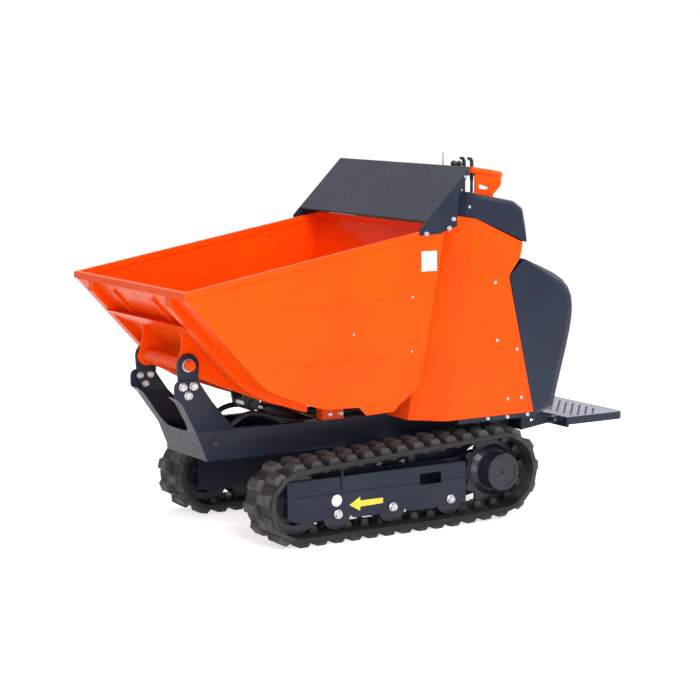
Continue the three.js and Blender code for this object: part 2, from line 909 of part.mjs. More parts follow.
function trackFrame(side) {
  const at = (offset) => side * (trackCentre + offset);
  const outerFace = frameSpread;
  const outerBack = frameSpread - framePlateThickness;
  const lowest = frameBottomRearZ - overrun;
  const topOut = outerFace - frameFoldDepth;
  const fold = [
    [at(outerFace), lowest], [at(outerFace), frameFoldZ], [at(topOut), frameTopZ],
    [at(topOut - framePlateThickness), frameTopZ], [at(outerBack), frameFoldZ], [at(outerBack), lowest],
  ];
  const outline = frameOutline();
  const folded = slabX(fold, frameFrontX - overrun, frameRearX + overrun);
  const outerPlate = folded.intersect(slabY(outline, at(-overrun), at(frameSpread + overrun)));
  const window = block(frameWindowX, frameWindowX + frameWindowLength, at(0), at(frameSpread + overrun),
    frameWindowZ, frameWindowZ + frameWindowHeight);
  const innerPlate = slabY(outline, at(-outerFace), at(-outerBack));
  const motorArm = slabY([
    [frameRearX - postStemInset, frameBottomRearZ],
    [frameRearX, frameBottomRearZ],
    [wheelbase, sprocketZ - motorPlateRadius],
    [wheelbase + motorPlateRadius, sprocketZ - motorPlateRadius, motorPlateRadius],
    [wheelbase + motorPlateRadius, sprocketZ + motorPlateRadius, motorPlateRadius],
    [wheelbase, sprocketZ + motorPlateRadius],
    [frameRearX, frameTopZ],
    [frameRearX - postStemInset, frameTopZ],
  ], at(-outerFace), at(-outerBack));
  const motorBore = rodY(wheelbase, sprocketZ, boreFor(motorShaftRadius, sideGap * 2),
    at(-outerFace - overrun), at(0));
  const webStart = idlerRadius + yokeTravel + overrun;
  const web = block(webStart, frameRearX, at(-outerFace + sink), at(topOut - framePlateThickness + sink),
    frameWebZ - framePlateThickness, frameWebZ);
  const flangeBottomZ = frameBottomRearZ + frameNotchRise;
  const flange = block(frameRearX - frameFlangeThickness, frameRearX, at(-outerFace + sink),
    at(outerFace - sink), flangeBottomZ, frameFoldZ);
  const tensionerZ = idlerZ + yokeRodRise;
  const tensionerEnd = tensionerX + tensionerLength;
  const tensionerBore = rodX(at(0), tensionerZ, boreFor(yokeRodRadius), tensionerX - overrun,
    tensionerEnd - overrun / 2);
  const tensionerTube = rodX(at(0), tensionerZ, tensionerRadius, tensionerX + sideGap, tensionerEnd);
  const tensioner = cut(tensionerTube, [tensionerBore]);
  const tensionerWall = block(tensionerEnd - framePlateThickness, tensionerEnd,
    at(-outerFace + sink), at(outerBack + sink), rollerZ + rollerRadius + sideGap, frameWebZ - sink);
  const flangeFace = side * (postFlangeY + contactGap);
  const flangeBack = side * (postFlangeY + contactGap + postFlangeThickness);
  const postFlange = block(postX, postX + postLength, flangeFace, flangeBack,
    postFlangeBottomZ, postFlangeTopZ);
  const stemTopZ = frameTopZ;
  const postStem = block(postX + postStemInset, postX + postLength - postStemInset,
    side * (postFlangeY + postFlangeThickness), at(-outerFace + sink), postFlangeBottomZ, stemTopZ);
  const pieces = [cut(outerPlate, [window]), cut(join([innerPlate, motorArm]), [motorBore]),
    web, flange, tensioner, tensionerWall, postFlange, postStem];
  for (const x of rollerPlaces) {
    pieces.push(rodY(x, rollerZ, rollerAxleRadius, at(-outerFace + sink), at(outerFace - sink)));
    for (const row of [-1, 1]) {
      pieces.push(rodY(x, rollerZ, rollerAxleRadius + framePlateThickness,
        at(row * (rollerEnd + sideGap)), at(row * (outerBack + sink)), smallSides));
    }
  }
  return join(pieces);
}

// Chassis frame

function armOutline() {
  return [
    [armTopFrontX, armTopZ, armCornerRadius],
    [armTopFrontX, armBendZ + armCornerRadius, armCornerRadius],
    [armFrontLowX, armBendZ],
    [noseBendX, beamTopZ],
    [noseBottomX, beamBottomZ],
    [armRearLowX, beamBottomZ],
    [armRearLowX, beamTopZ],
    [armRearBendX, armBendZ],
    [armTopRearX, armTopZ, armCornerRadius],
  ];
}

// The arms stand wider than the beams; this is a face of theirs in YZ, from top to bottom
function armFace(side, depth) {
  return [
    [side * (armHalfWidth - depth), armTopZ + overrun], [side * (armHalfWidth - depth), armBendZ],
    [side * (beamHalfWidth - depth), beamTopZ], [side * (beamHalfWidth - depth), beamBottomZ - overrun],
  ];
}

function chassisFrame() {
  const inner = beamHalfWidth - plateThickness;
  const pieces = [];
  for (const side of [-1, 1]) {
    const beam = block(noseBottomX, beamRearX, side * beamHalfWidth, side * (beamHalfWidth - beamFlangeWidth),
      beamBottomZ, beamTopZ);
    const hollow = block(noseBottomX - overrun, beamRearX + overrun, side * inner,
      side * (beamHalfWidth - beamFlangeWidth - overrun), beamBottomZ + plateThickness, beamTopZ - plateThickness);
    pieces.push(cut(beam, [hollow]));
    const armPlate = slabX([...armFace(side, 0), ...armFace(side, plateThickness).reverse()],
      armTopFrontX - overrun, armRearLowX + overrun);
    pieces.push(armPlate.intersect(slabY(armOutline(), 0, side * (armHalfWidth + overrun))));
    pieces.push(rodY(noseBossX, noseBossZ, noseBossRadius, side * (beamHalfWidth - sink),
      side * (beamHalfWidth + noseBossHeight), wheelSides / 2));
    pieces.push(hexHead(noseBossX, noseBossZ, side * (beamHalfWidth + noseBossHeight), side));
  }
  const frontEdge = [[armTopFrontX, armBendZ + armCornerRadius], [armFrontLowX, armBendZ],
    [noseBendX, beamTopZ], [noseBottomX, beamBottomZ]];
  const backEdge = frontEdge.map(([x, z]) => [x + plateThickness, z]).reverse();
  const between = [...armFace(-1, plateThickness - sink), ...armFace(1, plateThickness - sink).reverse()];
  const frontPlate = slabY([...frontEdge, ...backEdge], -armHalfWidth, armHalfWidth)
    .intersect(slabX(between, armTopFrontX - overrun, armRearLowX));
  const cutShape = [
    [-cutHalfWidth, armTopZ + overrun], [-cutHalfWidth, armBendZ],
    [-cutFootHalfWidth, cutBottomZ, cutCornerRadius], [cutFootHalfWidth, cutBottomZ, cutCornerRadius],
    [cutHalfWidth, armBendZ], [cutHalfWidth, armTopZ + overrun],
  ];
  pieces.push(cut(frontPlate, [slabX(cutShape, armTopFrontX - overrun, armRearLowX)]));
  pieces.push(block(noseBottomX, noseBottomX + nosePlateLength, -inner - sink, inner + sink,
    beamBottomZ, beamBottomZ + plateThickness));
  const cradleInner = beamHalfWidth - beamFlangeWidth;
  const cradle = (inset, cradleDrop) => [
    [cradleInner + inset, postFlangeBottomZ - cradleDrop], [postFlangeY - inset, postFlangeBottomZ - cradleDrop],
    [postFlangeY - inset, cradleFootTopZ], [cradleHalfWidth - inset, cradleFootTopZ + inset],
    [cradleHalfWidth - inset, beamBottomZ + sink - inset], [cradleInner + inset, beamBottomZ + sink - inset],
  ];
  for (const side of [-1, 1]) {
    const mirrored = (outline) => outline.map(([y, z]) => [side * y, z]);
    const box = slabX(mirrored(cradle(0, 0)), postX, postX + postLength);
    const hollow = slabX(mirrored(cradle(plateThickness, overrun)), postX + plateThickness,
      postX + postLength - plateThickness);
    pieces.push(cut(box, [hollow]));
  }
  pieces.push(block(beamRearX - plateThickness, beamRearX, -inner - sink, inner + sink,
    beamBottomZ + plateThickness, beamTopZ));
  const bridgeTop = beamTopZ - plateThickness;
  const bridge = block(lugBridgeX, lugBridgeX + lugBridgeLength, -inner - sink, inner + sink,
    bridgeTop - lugBridgeHeight, bridgeTop);
  pieces.push(bridge);
  const cheekInner = barrelBushWidth / 2 + sideGap;
  for (const side of [-1, 1]) {
    const cheek = slabY([
      [lugBaseX - lugCheekRadius, lugBaseZ + lugCheekRadius, lugCheekRadius],
      [lugBaseX - lugCheekRadius, lugBaseZ - lugCheekRadius, lugCheekRadius],
      [lugBaseX + lugCheekRadius, lugBaseZ - lugCheekRadius, lugCheekRadius],
      [lugBridgeX + lugBridgeLength, bridgeTop - lugBridgeHeight / 2],
      [lugBridgeX + sink, bridgeTop - lugBridgeHeight / 2],
    ], side * cheekInner, side * (cheekInner + lugCheekThickness));
    pieces.push(cheek);
    pieces.push(hexHead(lugBaseX, lugBaseZ, side * (cheekInner + lugCheekThickness), side,
      boltHeadRadius * 2));
  }
  return join(pieces);
}

function pivotEar(side) {
  const boreRadius = boreFor(pivotPinRadius, runningGap, drumSides);
  const outline = [];
  const arcSteps = 8;
  for (let step = 0; step <= arcSteps; step += 1) {
    const angle = Math.PI * (step / arcSteps);
    outline.push([pivotX + earRadius * Math.cos(angle), pivotZ + earRadius * Math.sin(angle)]);
  }
  outline.push([pivotX - earFootHalfWidth, earFootZ + earFootRise]);
  outline.push([pivotX - earFootHalfWidth / 2, earFootZ]);
  outline.push([pivotX + earFootHalfWidth / 2, earFootZ]);
  outline.push([pivotX + earFootHalfWidth, earFootZ + earFootRise]);
  const plate = slabY(outline, side * earOuter, side * (earOuter - earThickness));
  return cut(plate, [rodY(pivotX, pivotZ, boreRadius, side * (earOuter + overrun), 0, drumSides)]);
}

// Skip tub

const rimRearZ = lipZ + rimSlope * (rimRearX - lipX);
const rimAt = (x) => lipZ + rimSlope * (x - lipX);
const tubRearX = rimRearX - rimRearInset;

function tubOutline() {
  return [
    [lipX, rimAt(lipX)],
    [lipX, rimAt(lipX) - rimHeight],
    [slopeFootX, slopeFootZ, bellyRibDepth * 9],
    [bellyX, bellyZ, bellyRibDepth * 9],
    [bellyRearX, bellyRearZ],
    [heelX, heelZ, heelRadius / 2],
    [backFootX, heelZ + heelRadius * 3 / 4, heelRadius],
    [tubRearX, rimAt(tubRearX) - rimHeight],
    [tubRearX, rimAt(tubRearX)],
  ];
}

function skipTub() {
  const outer = tubOutline();
  const shell = slabY(outer, -skipHalfWidth, skipHalfWidth);
  const inside = offsetOutline(outer, -skipWall).map((point) => [point.x, point.y]);
  const raised = inside.map(([x, z], index) => {
    const first = index === 0;
    const last = index === inside.length - 1;
    return first || last ? [x, z + overrun] : [x, z];
  });
  const hollow = slabY(raised, -skipHalfWidth + skipWall, skipHalfWidth - skipWall);
  const pieces = [cut(shell, [hollow])];
  const rimDrop = rimHeight;
  const rimBand = (inset) => [
    [lipX - rimProud + inset, rimAt(lipX - rimProud + inset)],
    [lipX - rimProud + inset, rimAt(lipX - rimProud + inset) - rimDrop],
    [rimRearX + rimProud - inset, rimAt(rimRearX + rimProud - inset) - rimDrop],
    [rimRearX + rimProud - inset, rimAt(rimRearX + rimProud - inset)],
  ];
  const rimOuter = slabY(rimBand(0), -skipHalfWidth - rimProud, skipHalfWidth + rimProud);
  const rimInner = block(lipX - rimProud + rimWidth, tubRearX - skipWall,
    -skipHalfWidth - rimProud + rimWidth, skipHalfWidth + rimProud - rimWidth,
    lipZ - overrun * 2, rimRearZ + overrun);
  pieces.push(cut(rimOuter, [rimInner]));
  for (const side of [-1, 1]) {
    const skin = side * (skipHalfWidth - sink);
    const proud = side * (skipHalfWidth + ribSkipProud);
    for (const z of [ribSkipUpperZ, ribSkipLowerZ]) {
      const rear = z + ribSkipRise;
      const corners = [];
      for (const [x, base] of [[ribSkipFrontX, z], [ribSkipRearX, rear]]) {
        const inward = x === ribSkipFrontX ? 1 : -1;
        corners.push([x, skin, base - ribSkipHeight / 2], [x, skin, base + ribSkipHeight / 2]);
        corners.push([x + inward * ribSkipHeight, proud, base - ribSkipHeight / 4]);
        corners.push([x + inward * ribSkipHeight, proud, base + ribSkipHeight / 4]);
      }
      pieces.push(hull(corners));
    }
    const tab = [
      [bellyRearX + sink, bellyRearZ + skipWall], [lipTabFrontX, lipTabZ, heelRadius / 8],
      [lipTabRearX, lipTabZ + skipWall, heelRadius / 8], [heelX - sink, heelZ + skipWall],
    ];
    pieces.push(slabY(tab, side * (skipHalfWidth - skipWall), side * skipHalfWidth));
  }
  return join(pieces);
}

// The room that the tub and its rim take, with the contact gap round them
function tubRoom() {
  const outline = offsetOutline(tubOutline(), contactGap);
  return slabY(outline, -skipHalfWidth - rimProud - overrun, skipHalfWidth + rimProud + overrun);
}

const slopeRun = (lipX - slopeFootX) / (rimAt(lipX) - rimHeight - slopeFootZ);
const slopeX = (z) => slopeFootX + slopeRun * (z - slopeFootZ);

function skipFrame() {
  const pieces = [];
  const hornZ = slopeFootZ + (armHornTopX + armEdgeReach - slopeFootX) / slopeRun;
  const heelTurn = Math.atan2(pivotZ - armBossRadius - armToeZ, armToeX - pivotX);
  for (const side of [-1, 1]) {
    const outerY = side * armPlateHalfSpan;
    const innerY = side * armPlateInner;
    const arm = new THREE.Shape();
    arm.moveTo(slopeX(hornZ) - armEdgeReach, hornZ);
    arm.lineTo(slopeX(armEdgeEndZ) - armEdgeReach, armEdgeEndZ);
    arm.quadraticCurveTo(armWaistX, (armWaistZ + armEdgeEndZ) / 2, armWaistX, armWaistZ);
    arm.quadraticCurveTo(armWaistX, armWaistZ - armBossRadius, pivotX - armBossRadius, pivotZ);
    arm.absarc(pivotX, pivotZ, armBossRadius, Math.PI, Math.PI * 3 / 2 + heelTurn, false);
    arm.lineTo(armToeX, armToeZ);
    arm.lineTo(armToeX, bellyZ + overrun);
    arm.lineTo(slopeX(hornZ) + armBossRadius, hornZ);
    pieces.push(slabY(arm.getPoints(curveSteps), innerY, outerY));
    const belly = offsetOutline(tubOutline(), bellyRibDepth);
    const keep = block(armToeX - sink, footX + footLength, innerY, outerY,
      beamTopZ, bellyZ + overrun);
    pieces.push(slabY(belly, innerY, outerY).intersect(keep));
    const foot = block(footX, footX + footLength, outerY, outerY - side * footWidth,
      beamTopZ + contactGap, bellyZ + overrun);
    pieces.push(foot);
    const slopeBand = offsetOutline(tubOutline(), slopeRibDepth);
    const ribY = side * slopeRibHalfSpan;
    const ribKeep = block(lipX, bellyX, ribY - slopeRibWidth / 2, ribY + slopeRibWidth / 2,
      bellyZ - overrun * 2, rimAt(lipX) - rimHeight - sideGap);
    pieces.push(slabY(slopeBand, ribY - slopeRibWidth / 2, ribY + slopeRibWidth / 2).intersect(ribKeep));
  }
  pieces.push(rodY(pivotX, pivotZ, crossTubeRadius, -armPlateInner - sink, armPlateInner + sink));
  const shelfTop = shelfZ + shelfThickness / 2;
  const shelfLow = shelfZ - shelfThickness / 2;
  const shelfReach = slopeRibHalfSpan;
  pieces.push(slabY([
    [slopeX(shelfTop) - shelfDepth, shelfTop], [slopeX(shelfLow) - shelfDepth / 2, shelfLow],
    [slopeX(shelfLow) + shelfDepth, shelfLow], [slopeX(shelfTop) + shelfDepth, shelfTop],
  ], -shelfReach, shelfReach));
  return cut(join(pieces), [tubRoom()]);
}

// Pivot pins, one in each ear, welded to the skip's arm plates on the real machine
function pivotPin(side) {
  return rodY(pivotX, pivotZ, pivotPinRadius, side * (armPlateHalfSpan + contactGap),
    side * (armHalfWidth + pivotPinOverhang), drumSides);
}

// Tipping cylinder

const eyePlace = new THREE.Vector2(eyeX, eyeZ);
const basePlace = new THREE.Vector2(lugBaseX, lugBaseZ);
const cylinderLine = basePlace.clone().sub(eyePlace);
const closedLength = cylinderLine.length();
const cylinderAngle = cylinderLine.angle();

// The cylinder's length and direction after the skip has tipped by an angle
function tippedCylinder(angle) {
  const eye = eyePlace.clone().rotateAround(new THREE.Vector2(pivotX, pivotZ), angle);
  const line = basePlace.clone().sub(eye);
  return { length: line.length(), turn: line.angle() - cylinderAngle };
}

// Constant ratios: true at rest and where the skip has tipped by the match share
const matched = tippedCylinder(tipAngle * degrees * tipMatchShare);
const matchedTurn = THREE.MathUtils.euclideanModulo(matched.turn + Math.PI, 2 * Math.PI) - Math.PI;
const cylinderStroke = (matched.length - closedLength) / tipMatchShare;
const cylinderSwing = matchedTurn / degrees / tipMatchShare;

// Both cylinder pieces are modelled along +X from the rod's eye
const glandX = rodShown;
const barrelLength = closedLength - glandX;
const chamberEnd = barrelLength - barrelBushRadius - barrelBottomThickness;

function cylinderBarrel() {
  const tube = rodX(0, 0, barrelRadius, glandX + glandLength / 2, closedLength - barrelBushRadius / 2);
  const gland = rodX(0, 0, glandRadius, glandX, glandX + glandLength);
  const chamberRadius = barrelRadius - barrelWall;
  const chamber = rodX(0, 0, chamberRadius, glandX + glandLength, glandX + chamberEnd);
  const throat = rodX(0, 0, boreFor(rodRadius), glandX - overrun, glandX + glandLength + sink);
  const bush = rodY(closedLength, 0, barrelBushRadius, -barrelBushWidth / 2, barrelBushWidth / 2, wheelSides / 2);
  const ports = [glandX + glandLength * 2, glandX + barrelLength - barrelBushRadius * 3].map(
    (x) => rodZ(x, 0, portRadius, barrelRadius - barrelWall / 2, barrelRadius + portHeight, 8),
  );
  return cut(join([tube, gland, bush, ...ports]), [chamber, throat]);
}

function cylinderRod() {
  const eye = rodY(0, 0, eyeRadius, -eyeWidth / 2, eyeWidth / 2, wheelSides / 2);
  const bore = rodY(0, 0, boreFor(clevisPinRadius), -eyeWidth, eyeWidth);
  const pistonEnd = glandX + chamberEnd - sideGap * 2;
  const shank = rodX(0, 0, rodRadius, 0, pistonEnd - rodPistonLength / 2);
  const piston = rodX(0, 0, (barrelRadius - barrelWall) * Math.cos(Math.PI / pinSides) - runningGap,
    pistonEnd - rodPistonLength, pistonEnd);
  return cut(join([eye, shank, piston]), [bore]);
}

function cylinderClevis() {
  const cheekInner = eyeWidth / 2 + sideGap;
  const cheekOuter = cheekInner + clevisCheekThickness;
  const pieces = [];
  for (const side of [-1, 1]) {
    pieces.push(slabY([
      [eyeX - clevisBaseLength / 2, bellyZ + overrun * 2],
      [eyeX - eyeRadius, eyeZ - eyeRadius, eyeRadius],
      [eyeX + eyeRadius, eyeZ - eyeRadius, eyeRadius],
      [eyeX + clevisBaseLength / 2, bellyZ + overrun * 2],
    ], side * cheekInner, side * cheekOuter));
  }
  const band = slabY(offsetOutline(tubOutline(), clevisBaseThickness), -cheekOuter, cheekOuter);
  const keep = block(eyeX - clevisBaseLength / 2, eyeX + clevisBaseLength / 2, -cheekOuter, cheekOuter,
    eyeZ, bellyZ + overrun * 2);
  pieces.push(band.intersect(keep));
  const pinHole = rodY(eyeX, eyeZ, boreFor(clevisPinRadius, contactGap), -cheekOuter - overrun,
    cheekOuter + overrun);
  return cut(join(pieces), [tubRoom(), pinHole]);
}

function clevisPin() {
  const cheekOuter = eyeWidth / 2 + sideGap + clevisCheekThickness;
  const headSeat = cheekOuter + contactGap;
  return join([
    rodY(eyeX, eyeZ, clevisPinRadius, -headSeat - sink, headSeat + sink),
    rodY(eyeX, eyeZ, clevisPinRadius + plateThickness / 2, headSeat, headSeat + plateThickness, 6),
    rodY(eyeX, eyeZ, clevisPinRadius + plateThickness / 2, -headSeat, -headSeat - plateThickness, 6),
  ]);
}

// A hydraulic hose between two fittings that the chassis holds
function liftHose(route) {
  const [startX, startY, startZ] = route[0];
  const [, endY] = route[route.length - 1];
  const endZ = beamTopZ - plateThickness - lugBridgeHeight / 2;
  const seatX = lugBridgeX - contactGap;
  const seatZ = beamBottomZ + plateThickness + contactGap;
  const fittingStart = seatX - hoseFittingLength;
  const tail = [[fittingStart - hoseFittingLength, endY, endZ], [fittingStart + sink, endY, endZ]];
  const head = [startX, startY, seatZ + hoseFittingLength - sink];
  return join([
    sweep([head, [startX, startY, startZ], ...route.slice(1), ...tail], hoseRadius, hoseSides, hoseSteps),
    rodZ(startX, startY, hoseFittingRadius, seatZ, seatZ + hoseFittingLength, 6),
    rodX(endY, endZ, hoseFittingRadius, fittingStart, seatX, 6),
  ]);
}

// Spill guard: a folded sheet behind the tub's mouth, its gussets outside the rim

function spillGuard() {
  const inner = skipHalfWidth + rimProud + contactGap;
  const outer = inner + guardThickness;
  const footZ = rimAt(guardFootX) + guardFootRise;
  const lean = Math.atan2(guardRise, guardReach);
  const topX = guardFootX + guardReach;
  const topZ = footZ + guardRise;
  const lift = guardThickness / Math.cos(lean);
  const plate = slabY([
    [guardFootX + overrun, footZ + overrun * Math.tan(lean)],
    [topX, topZ],
    [topX, topZ - lift],
    [guardFootX + overrun, footZ + overrun * Math.tan(lean) - lift],
  ], -inner - sink, inner + sink);
  const heelX = guardFootX + guardHeelReach;
  const middleX = guardFootX + guardHeelReach * guardMiddleShare;
  const gusset = [
    [guardFootX, footZ], [topX, topZ], [guardFootX + guardTailReach, footZ + guardTailRise],
    [heelX, footZ + guardHeelRise], [heelX, rimAt(heelX) - rimHeight / 2],
    [middleX, rimAt(middleX) - rimHeight], [guardFootX, rimAt(guardFootX) - rimHeight / 2],
  ];
  const pieces = [plate];
  for (const side of [-1, 1]) {
    pieces.push(slabY(gusset, side * inner, side * outer));
  }
  return join(pieces);
}

// Cowl panels

const cowlFrontAt = (z) => cowlFrontX + cowlLean * (z - cowlBottomZ);

// A plan outline raised along the cowl's leaning front
function leaningPrism(plan, z0, z1) {
  const shear = new THREE.Matrix4().set(
    1, 0, cowlLean, -cowlLean * cowlBottomZ, 0, 1, 0, 0, 0, 0, 1, 0, 0, 0, 0, 1,
  );
  return solidOf(extrude(plan, z1 - z0).translate(0, 0, z0).applyMatrix4(shear));
}

function cowlPlan(inset) {
  const chamfer = inset / 2;
  return [
    [cowlFrontX + inset, -cowlFrontHalfWidth + chamfer],
    [cowlChamferX + chamfer, -cowlHalfWidth + inset],
    [cowlRearFootX + overrun, -cowlHalfWidth + inset],
    [cowlRearFootX + overrun, cowlHalfWidth - inset],
    [cowlChamferX + chamfer, cowlHalfWidth - inset],
    [cowlFrontX + inset, cowlFrontHalfWidth - chamfer],
  ];
}

function cowlSide() {
  return [
    [cowlFrontX - overrun, cowlBottomZ], [cowlRearFootX, cowlBottomZ],
    [cowlNeckX, cowlNeckZ, cowlFlange], [cowlShoulderX, cowlShoulderZ, cowlFlange],
    [cowlTopRearX, cowlTopRearZ], [cowlTopBendX, cowlTopBendZ],
    [cowlFrontAt(cowlTopFrontZ) - overrun, cowlTopFrontZ],
  ];
}

function cowlShell() {
  const side = slabY(cowlSide(), -cowlHalfWidth - overrun, cowlHalfWidth + overrun);
  const top = cowlTopFrontZ + overrun;
  const outer = leaningPrism(cowlPlan(0), cowlBottomZ, top).intersect(side);
  const inner = leaningPrism(cowlPlan(cowlWall), cowlBottomZ - overrun, top + overrun);
  return cut(outer, [inner]);
}

function cowlPanels() {
  const shell = cowlShell();
  const seam = cowlFrontHalfWidth - cowlFlange;
  const sideRoom = (side) => block(cowlFrontX - overrun, cowlRearFootX + overrun * 2,
    side * (seam + contactGap / 2), side * (cowlHalfWidth + overrun), 0, cowlTopFrontZ + overrun);
  const middle = block(cowlFrontX - overrun, (cowlFrontX + cowlRearFootX) / 2, -seam + contactGap / 2,
    seam - contactGap / 2, 0, cowlTopFrontZ + overrun);
  const slot = block(cowlFrontX - overrun, cowlFrontX + overrun * 2, -cowlSlotHalfWidth, cowlSlotHalfWidth,
    0, cowlBottomZ + cowlSlotHeight);
  const beamRoom = beamHalfWidth + sideGap;
  const overBeams = block(cowlFrontX - overrun, cowlFrontX + overrun * 2, -beamRoom, beamRoom, 0,
    beamTopZ + contactGap);
  return {
    left: shell.intersect(sideRoom(-1)),
    right: shell.intersect(sideRoom(1)),
    front: cut(shell.intersect(middle), [slot, overBeams]),
  };
}

// The panel between the cowl's rear shoulders, under the hood
function cowlBack() {
  const half = cowlHalfWidth - cowlWall - contactGap;
  const top = cowlTopRearZ - contactGap;
  const lowX = cowlShoulderX - cowlBackInset - cowlWall;
  const highX = cowlTopRearX - cowlBackInset;
  return slabY([
    [lowX, cowlShoulderZ - cowlBackDrop], [lowX + cowlWall, cowlShoulderZ - cowlBackDrop],
    [lowX + cowlWall, cowlShoulderZ], [highX, top], [highX - cowlWall, top], [lowX, cowlShoulderZ],
  ], -half, half);
}

// Console hood

function hoodOutline(gap) {
  const frontTopZ = cowlTopFrontZ + gap;
  return [
    [cowlFrontAt(cowlTopFrontZ) - hoodOverhang, frontTopZ], [cowlTopBendX, cowlTopBendZ + gap],
    [hoodTailX - overrun / 4, cowlTopRearZ + gap], [hoodTailX, hoodTailZ, hoodBevel],
    [hoodCrownX, hoodCrownZ, hoodBevel / 2], [hoodShoulderX, hoodShoulderZ, hoodBevel],
    [hoodFrontX, hoodFrontZ, plateThickness],
  ];
}

// The hood's form, drawn smaller by an inset; its lower edge is left open
function hoodForm(inset) {
  const outline = asPoints(hoodOutline(contactGap));
  const lowest = 3;
  const drop = inset > 0 ? overrun : 0;
  const points = offsetOutline(outline, -inset).map((point, index) => (
    new THREE.Vector2(point.x, index < lowest ? point.y - drop : point.y)
  ));
  const half = cowlHalfWidth + hoodOverhang - inset;
  const isSharp = (index) => index < lowest;
  const form = crowned(points, half, hoodBevel - inset, isSharp);
  const plan = leaningPrism(cowlPlan(inset - hoodOverhang), cowlTopRearZ - overrun * 3, hoodFrontZ + overrun);
  return form.intersect(plan).intersect(slabY(points, -half - overrun, half + overrun));
}

function consoleHood() {
  const shell = cut(hoodForm(0), [hoodForm(hoodWall)]);
  const slots = [];
  const topZ = hoodShoulderZ + overrun;
  const slotHalf = (radius) => Math.tan(leverSwing * degrees) * (topZ - leverShaftZ)
    + (radius + leverSlotGap);
  for (const y of [...shortLeverPlaces, ...tallLeverPlaces]) {
    slots.push(block(leverShaftX - slotHalf(leverStemRadius), leverShaftX + slotHalf(leverStemRadius),
      y - leverStemRadius - leverSlotGap, y + leverStemRadius + leverSlotGap,
      hoodShoulderZ - overrun, hoodFrontZ + overrun));
  }
  slots.push(block(leverShaftX - slotHalf(throttleRadius), leverShaftX + slotHalf(throttleRadius),
    throttlePlace - throttleRadius - leverSlotGap, throttlePlace + throttleRadius + leverSlotGap,
    hoodShoulderZ - overrun, hoodFrontZ + overrun));
  return cut(shell, slots);
}

// Rear cover: a crowned moulding, open towards the engine, hung from two ears at its top

function coverPoints() {
  const shape = new THREE.Shape();
  shape.moveTo(coverPeakX, coverPeakZ);
  shape.bezierCurveTo(
    coverPeakX + (coverBackX - coverPeakX) * 0.6, coverPeakZ - (coverPeakZ - coverBackZ) / 4,
    coverBackX, coverBackZ + (coverPeakZ - coverBackZ) * 0.6, coverBackX, coverBackZ,
  );
  shape.bezierCurveTo(
    coverBackX, coverBackZ - (coverBackZ - coverFootZ) / 4,
    coverFootX + (coverBackX - coverFootX) * 0.4, coverFootZ + (coverBackZ - coverFootZ) * 0.4,
    coverFootX, coverFootZ,
  );
  shape.lineTo(cowlRearFootX + coverGap, coverFootZ);
  shape.lineTo(cowlNeckX + coverGap * 3, cowlNeckZ);
  return shape.getPoints(curveSteps);
}

function rearCover() {
  const points = coverPoints();
  const isSharp = (index) => index === 0 || index > points.length - 3;
  const outer = crowned(points, coverHalfWidth, coverBevel, isSharp);
  const inner = crowned(offsetOutline(points, -coverWall), coverHalfWidth - coverWall,
    coverBevel - coverWall, isSharp);
  const opened = [inner, inner.translate([-coverWall * 3, 0, -coverWall])];
  const lugs = [];
  for (const side of [-1, 1]) {
    lugs.push(rodY(coverPeakX, coverPeakZ, coverHingeRadius, side * (coverHingeY - coverHingeLength / 2),
      side * (coverHingeY + coverHingeLength / 2), 12));
  }
  return join([cut(outer, opened), ...lugs]);
}

// Deck and power pack

function deckPlate() {
  const half = cowlHalfWidth - cowlWall - contactGap;
  const bottom = beamTopZ + contactGap;
  const chamferStart = cowlChamferX + cowlWall * 2;
  const slopeToFront = (cowlHalfWidth - cowlFrontHalfWidth) / (cowlChamferX - cowlFrontX);
  const frontHalf = half - (chamferStart - deckFrontX) * slopeToFront;
  return slabZ([
    [deckFrontX, -frontHalf], [chamferStart, -half], [deckWideEndX, -half], [deckRearX, -beamHalfWidth],
    [deckRearX, beamHalfWidth], [deckWideEndX, half], [chamferStart, half], [deckFrontX, frontHalf],
  ], bottom, bottom + deckThickness);
}

const engineBottomZ = deckTopZ + contactGap;

function engineBlock() {
  const half = engineWidth / 2;
  const front = engineX;
  const rear = engineX + engineLength;
  const bottom = engineBottomZ + engineFeetHeight;
  const top = engineBottomZ + engineHeight;
  const pieces = [block(front, rear, -half, half, bottom - sink, top)];
  for (const y of [-half + engineFeetHeight, half - engineFeetHeight]) {
    pieces.push(block(front + engineFinPitch, rear - engineFinPitch, y - engineFeetHeight,
      y + engineFeetHeight, engineBottomZ, bottom));
  }
  const headFront = front + (engineLength - engineHeadLength) / 2;
  const headRear = headFront + engineHeadLength;
  const headHalf = half - engineFeetHeight;
  pieces.push(block(headFront + engineFinDepth, headRear - engineFinDepth, -headHalf, headHalf - engineFinDepth,
    top - sink, top + engineHeadHeight));
  const fins = Math.floor(engineHeadHeight / engineFinPitch);
  for (let fin = 0; fin < fins; fin += 1) {
    const z = top + engineFinPitch * (fin + 1 / 2);
    pieces.push(block(headFront, headRear, -headHalf - engineFinDepth, headHalf, z, z + engineFinPitch / 3));
  }
  pieces.push(rodY((front + rear) / 2, (bottom + top) / 2, engineHeight / 3, half - sink,
    half + engineFeetHeight * 2, wheelSides / 2));
  return join(pieces);
}

function hydraulicPump() {
  const seat = -(engineWidth / 2 + contactGap);
  const x = engineX + engineLength / 2;
  const z = engineBottomZ + engineHeight / 2;
  return join([
    rodY(x, z, pumpRadius, seat, seat - plateThickness, wheelSides / 2),
    rodY(x, z, pumpRadius * 3 / 4, seat - plateThickness + sink, seat - pumpLength, wheelSides / 2),
    rodZ(x, seat - pumpLength / 2, portRadius, z, z + pumpRadius + portHeight, 8),
  ]);
}

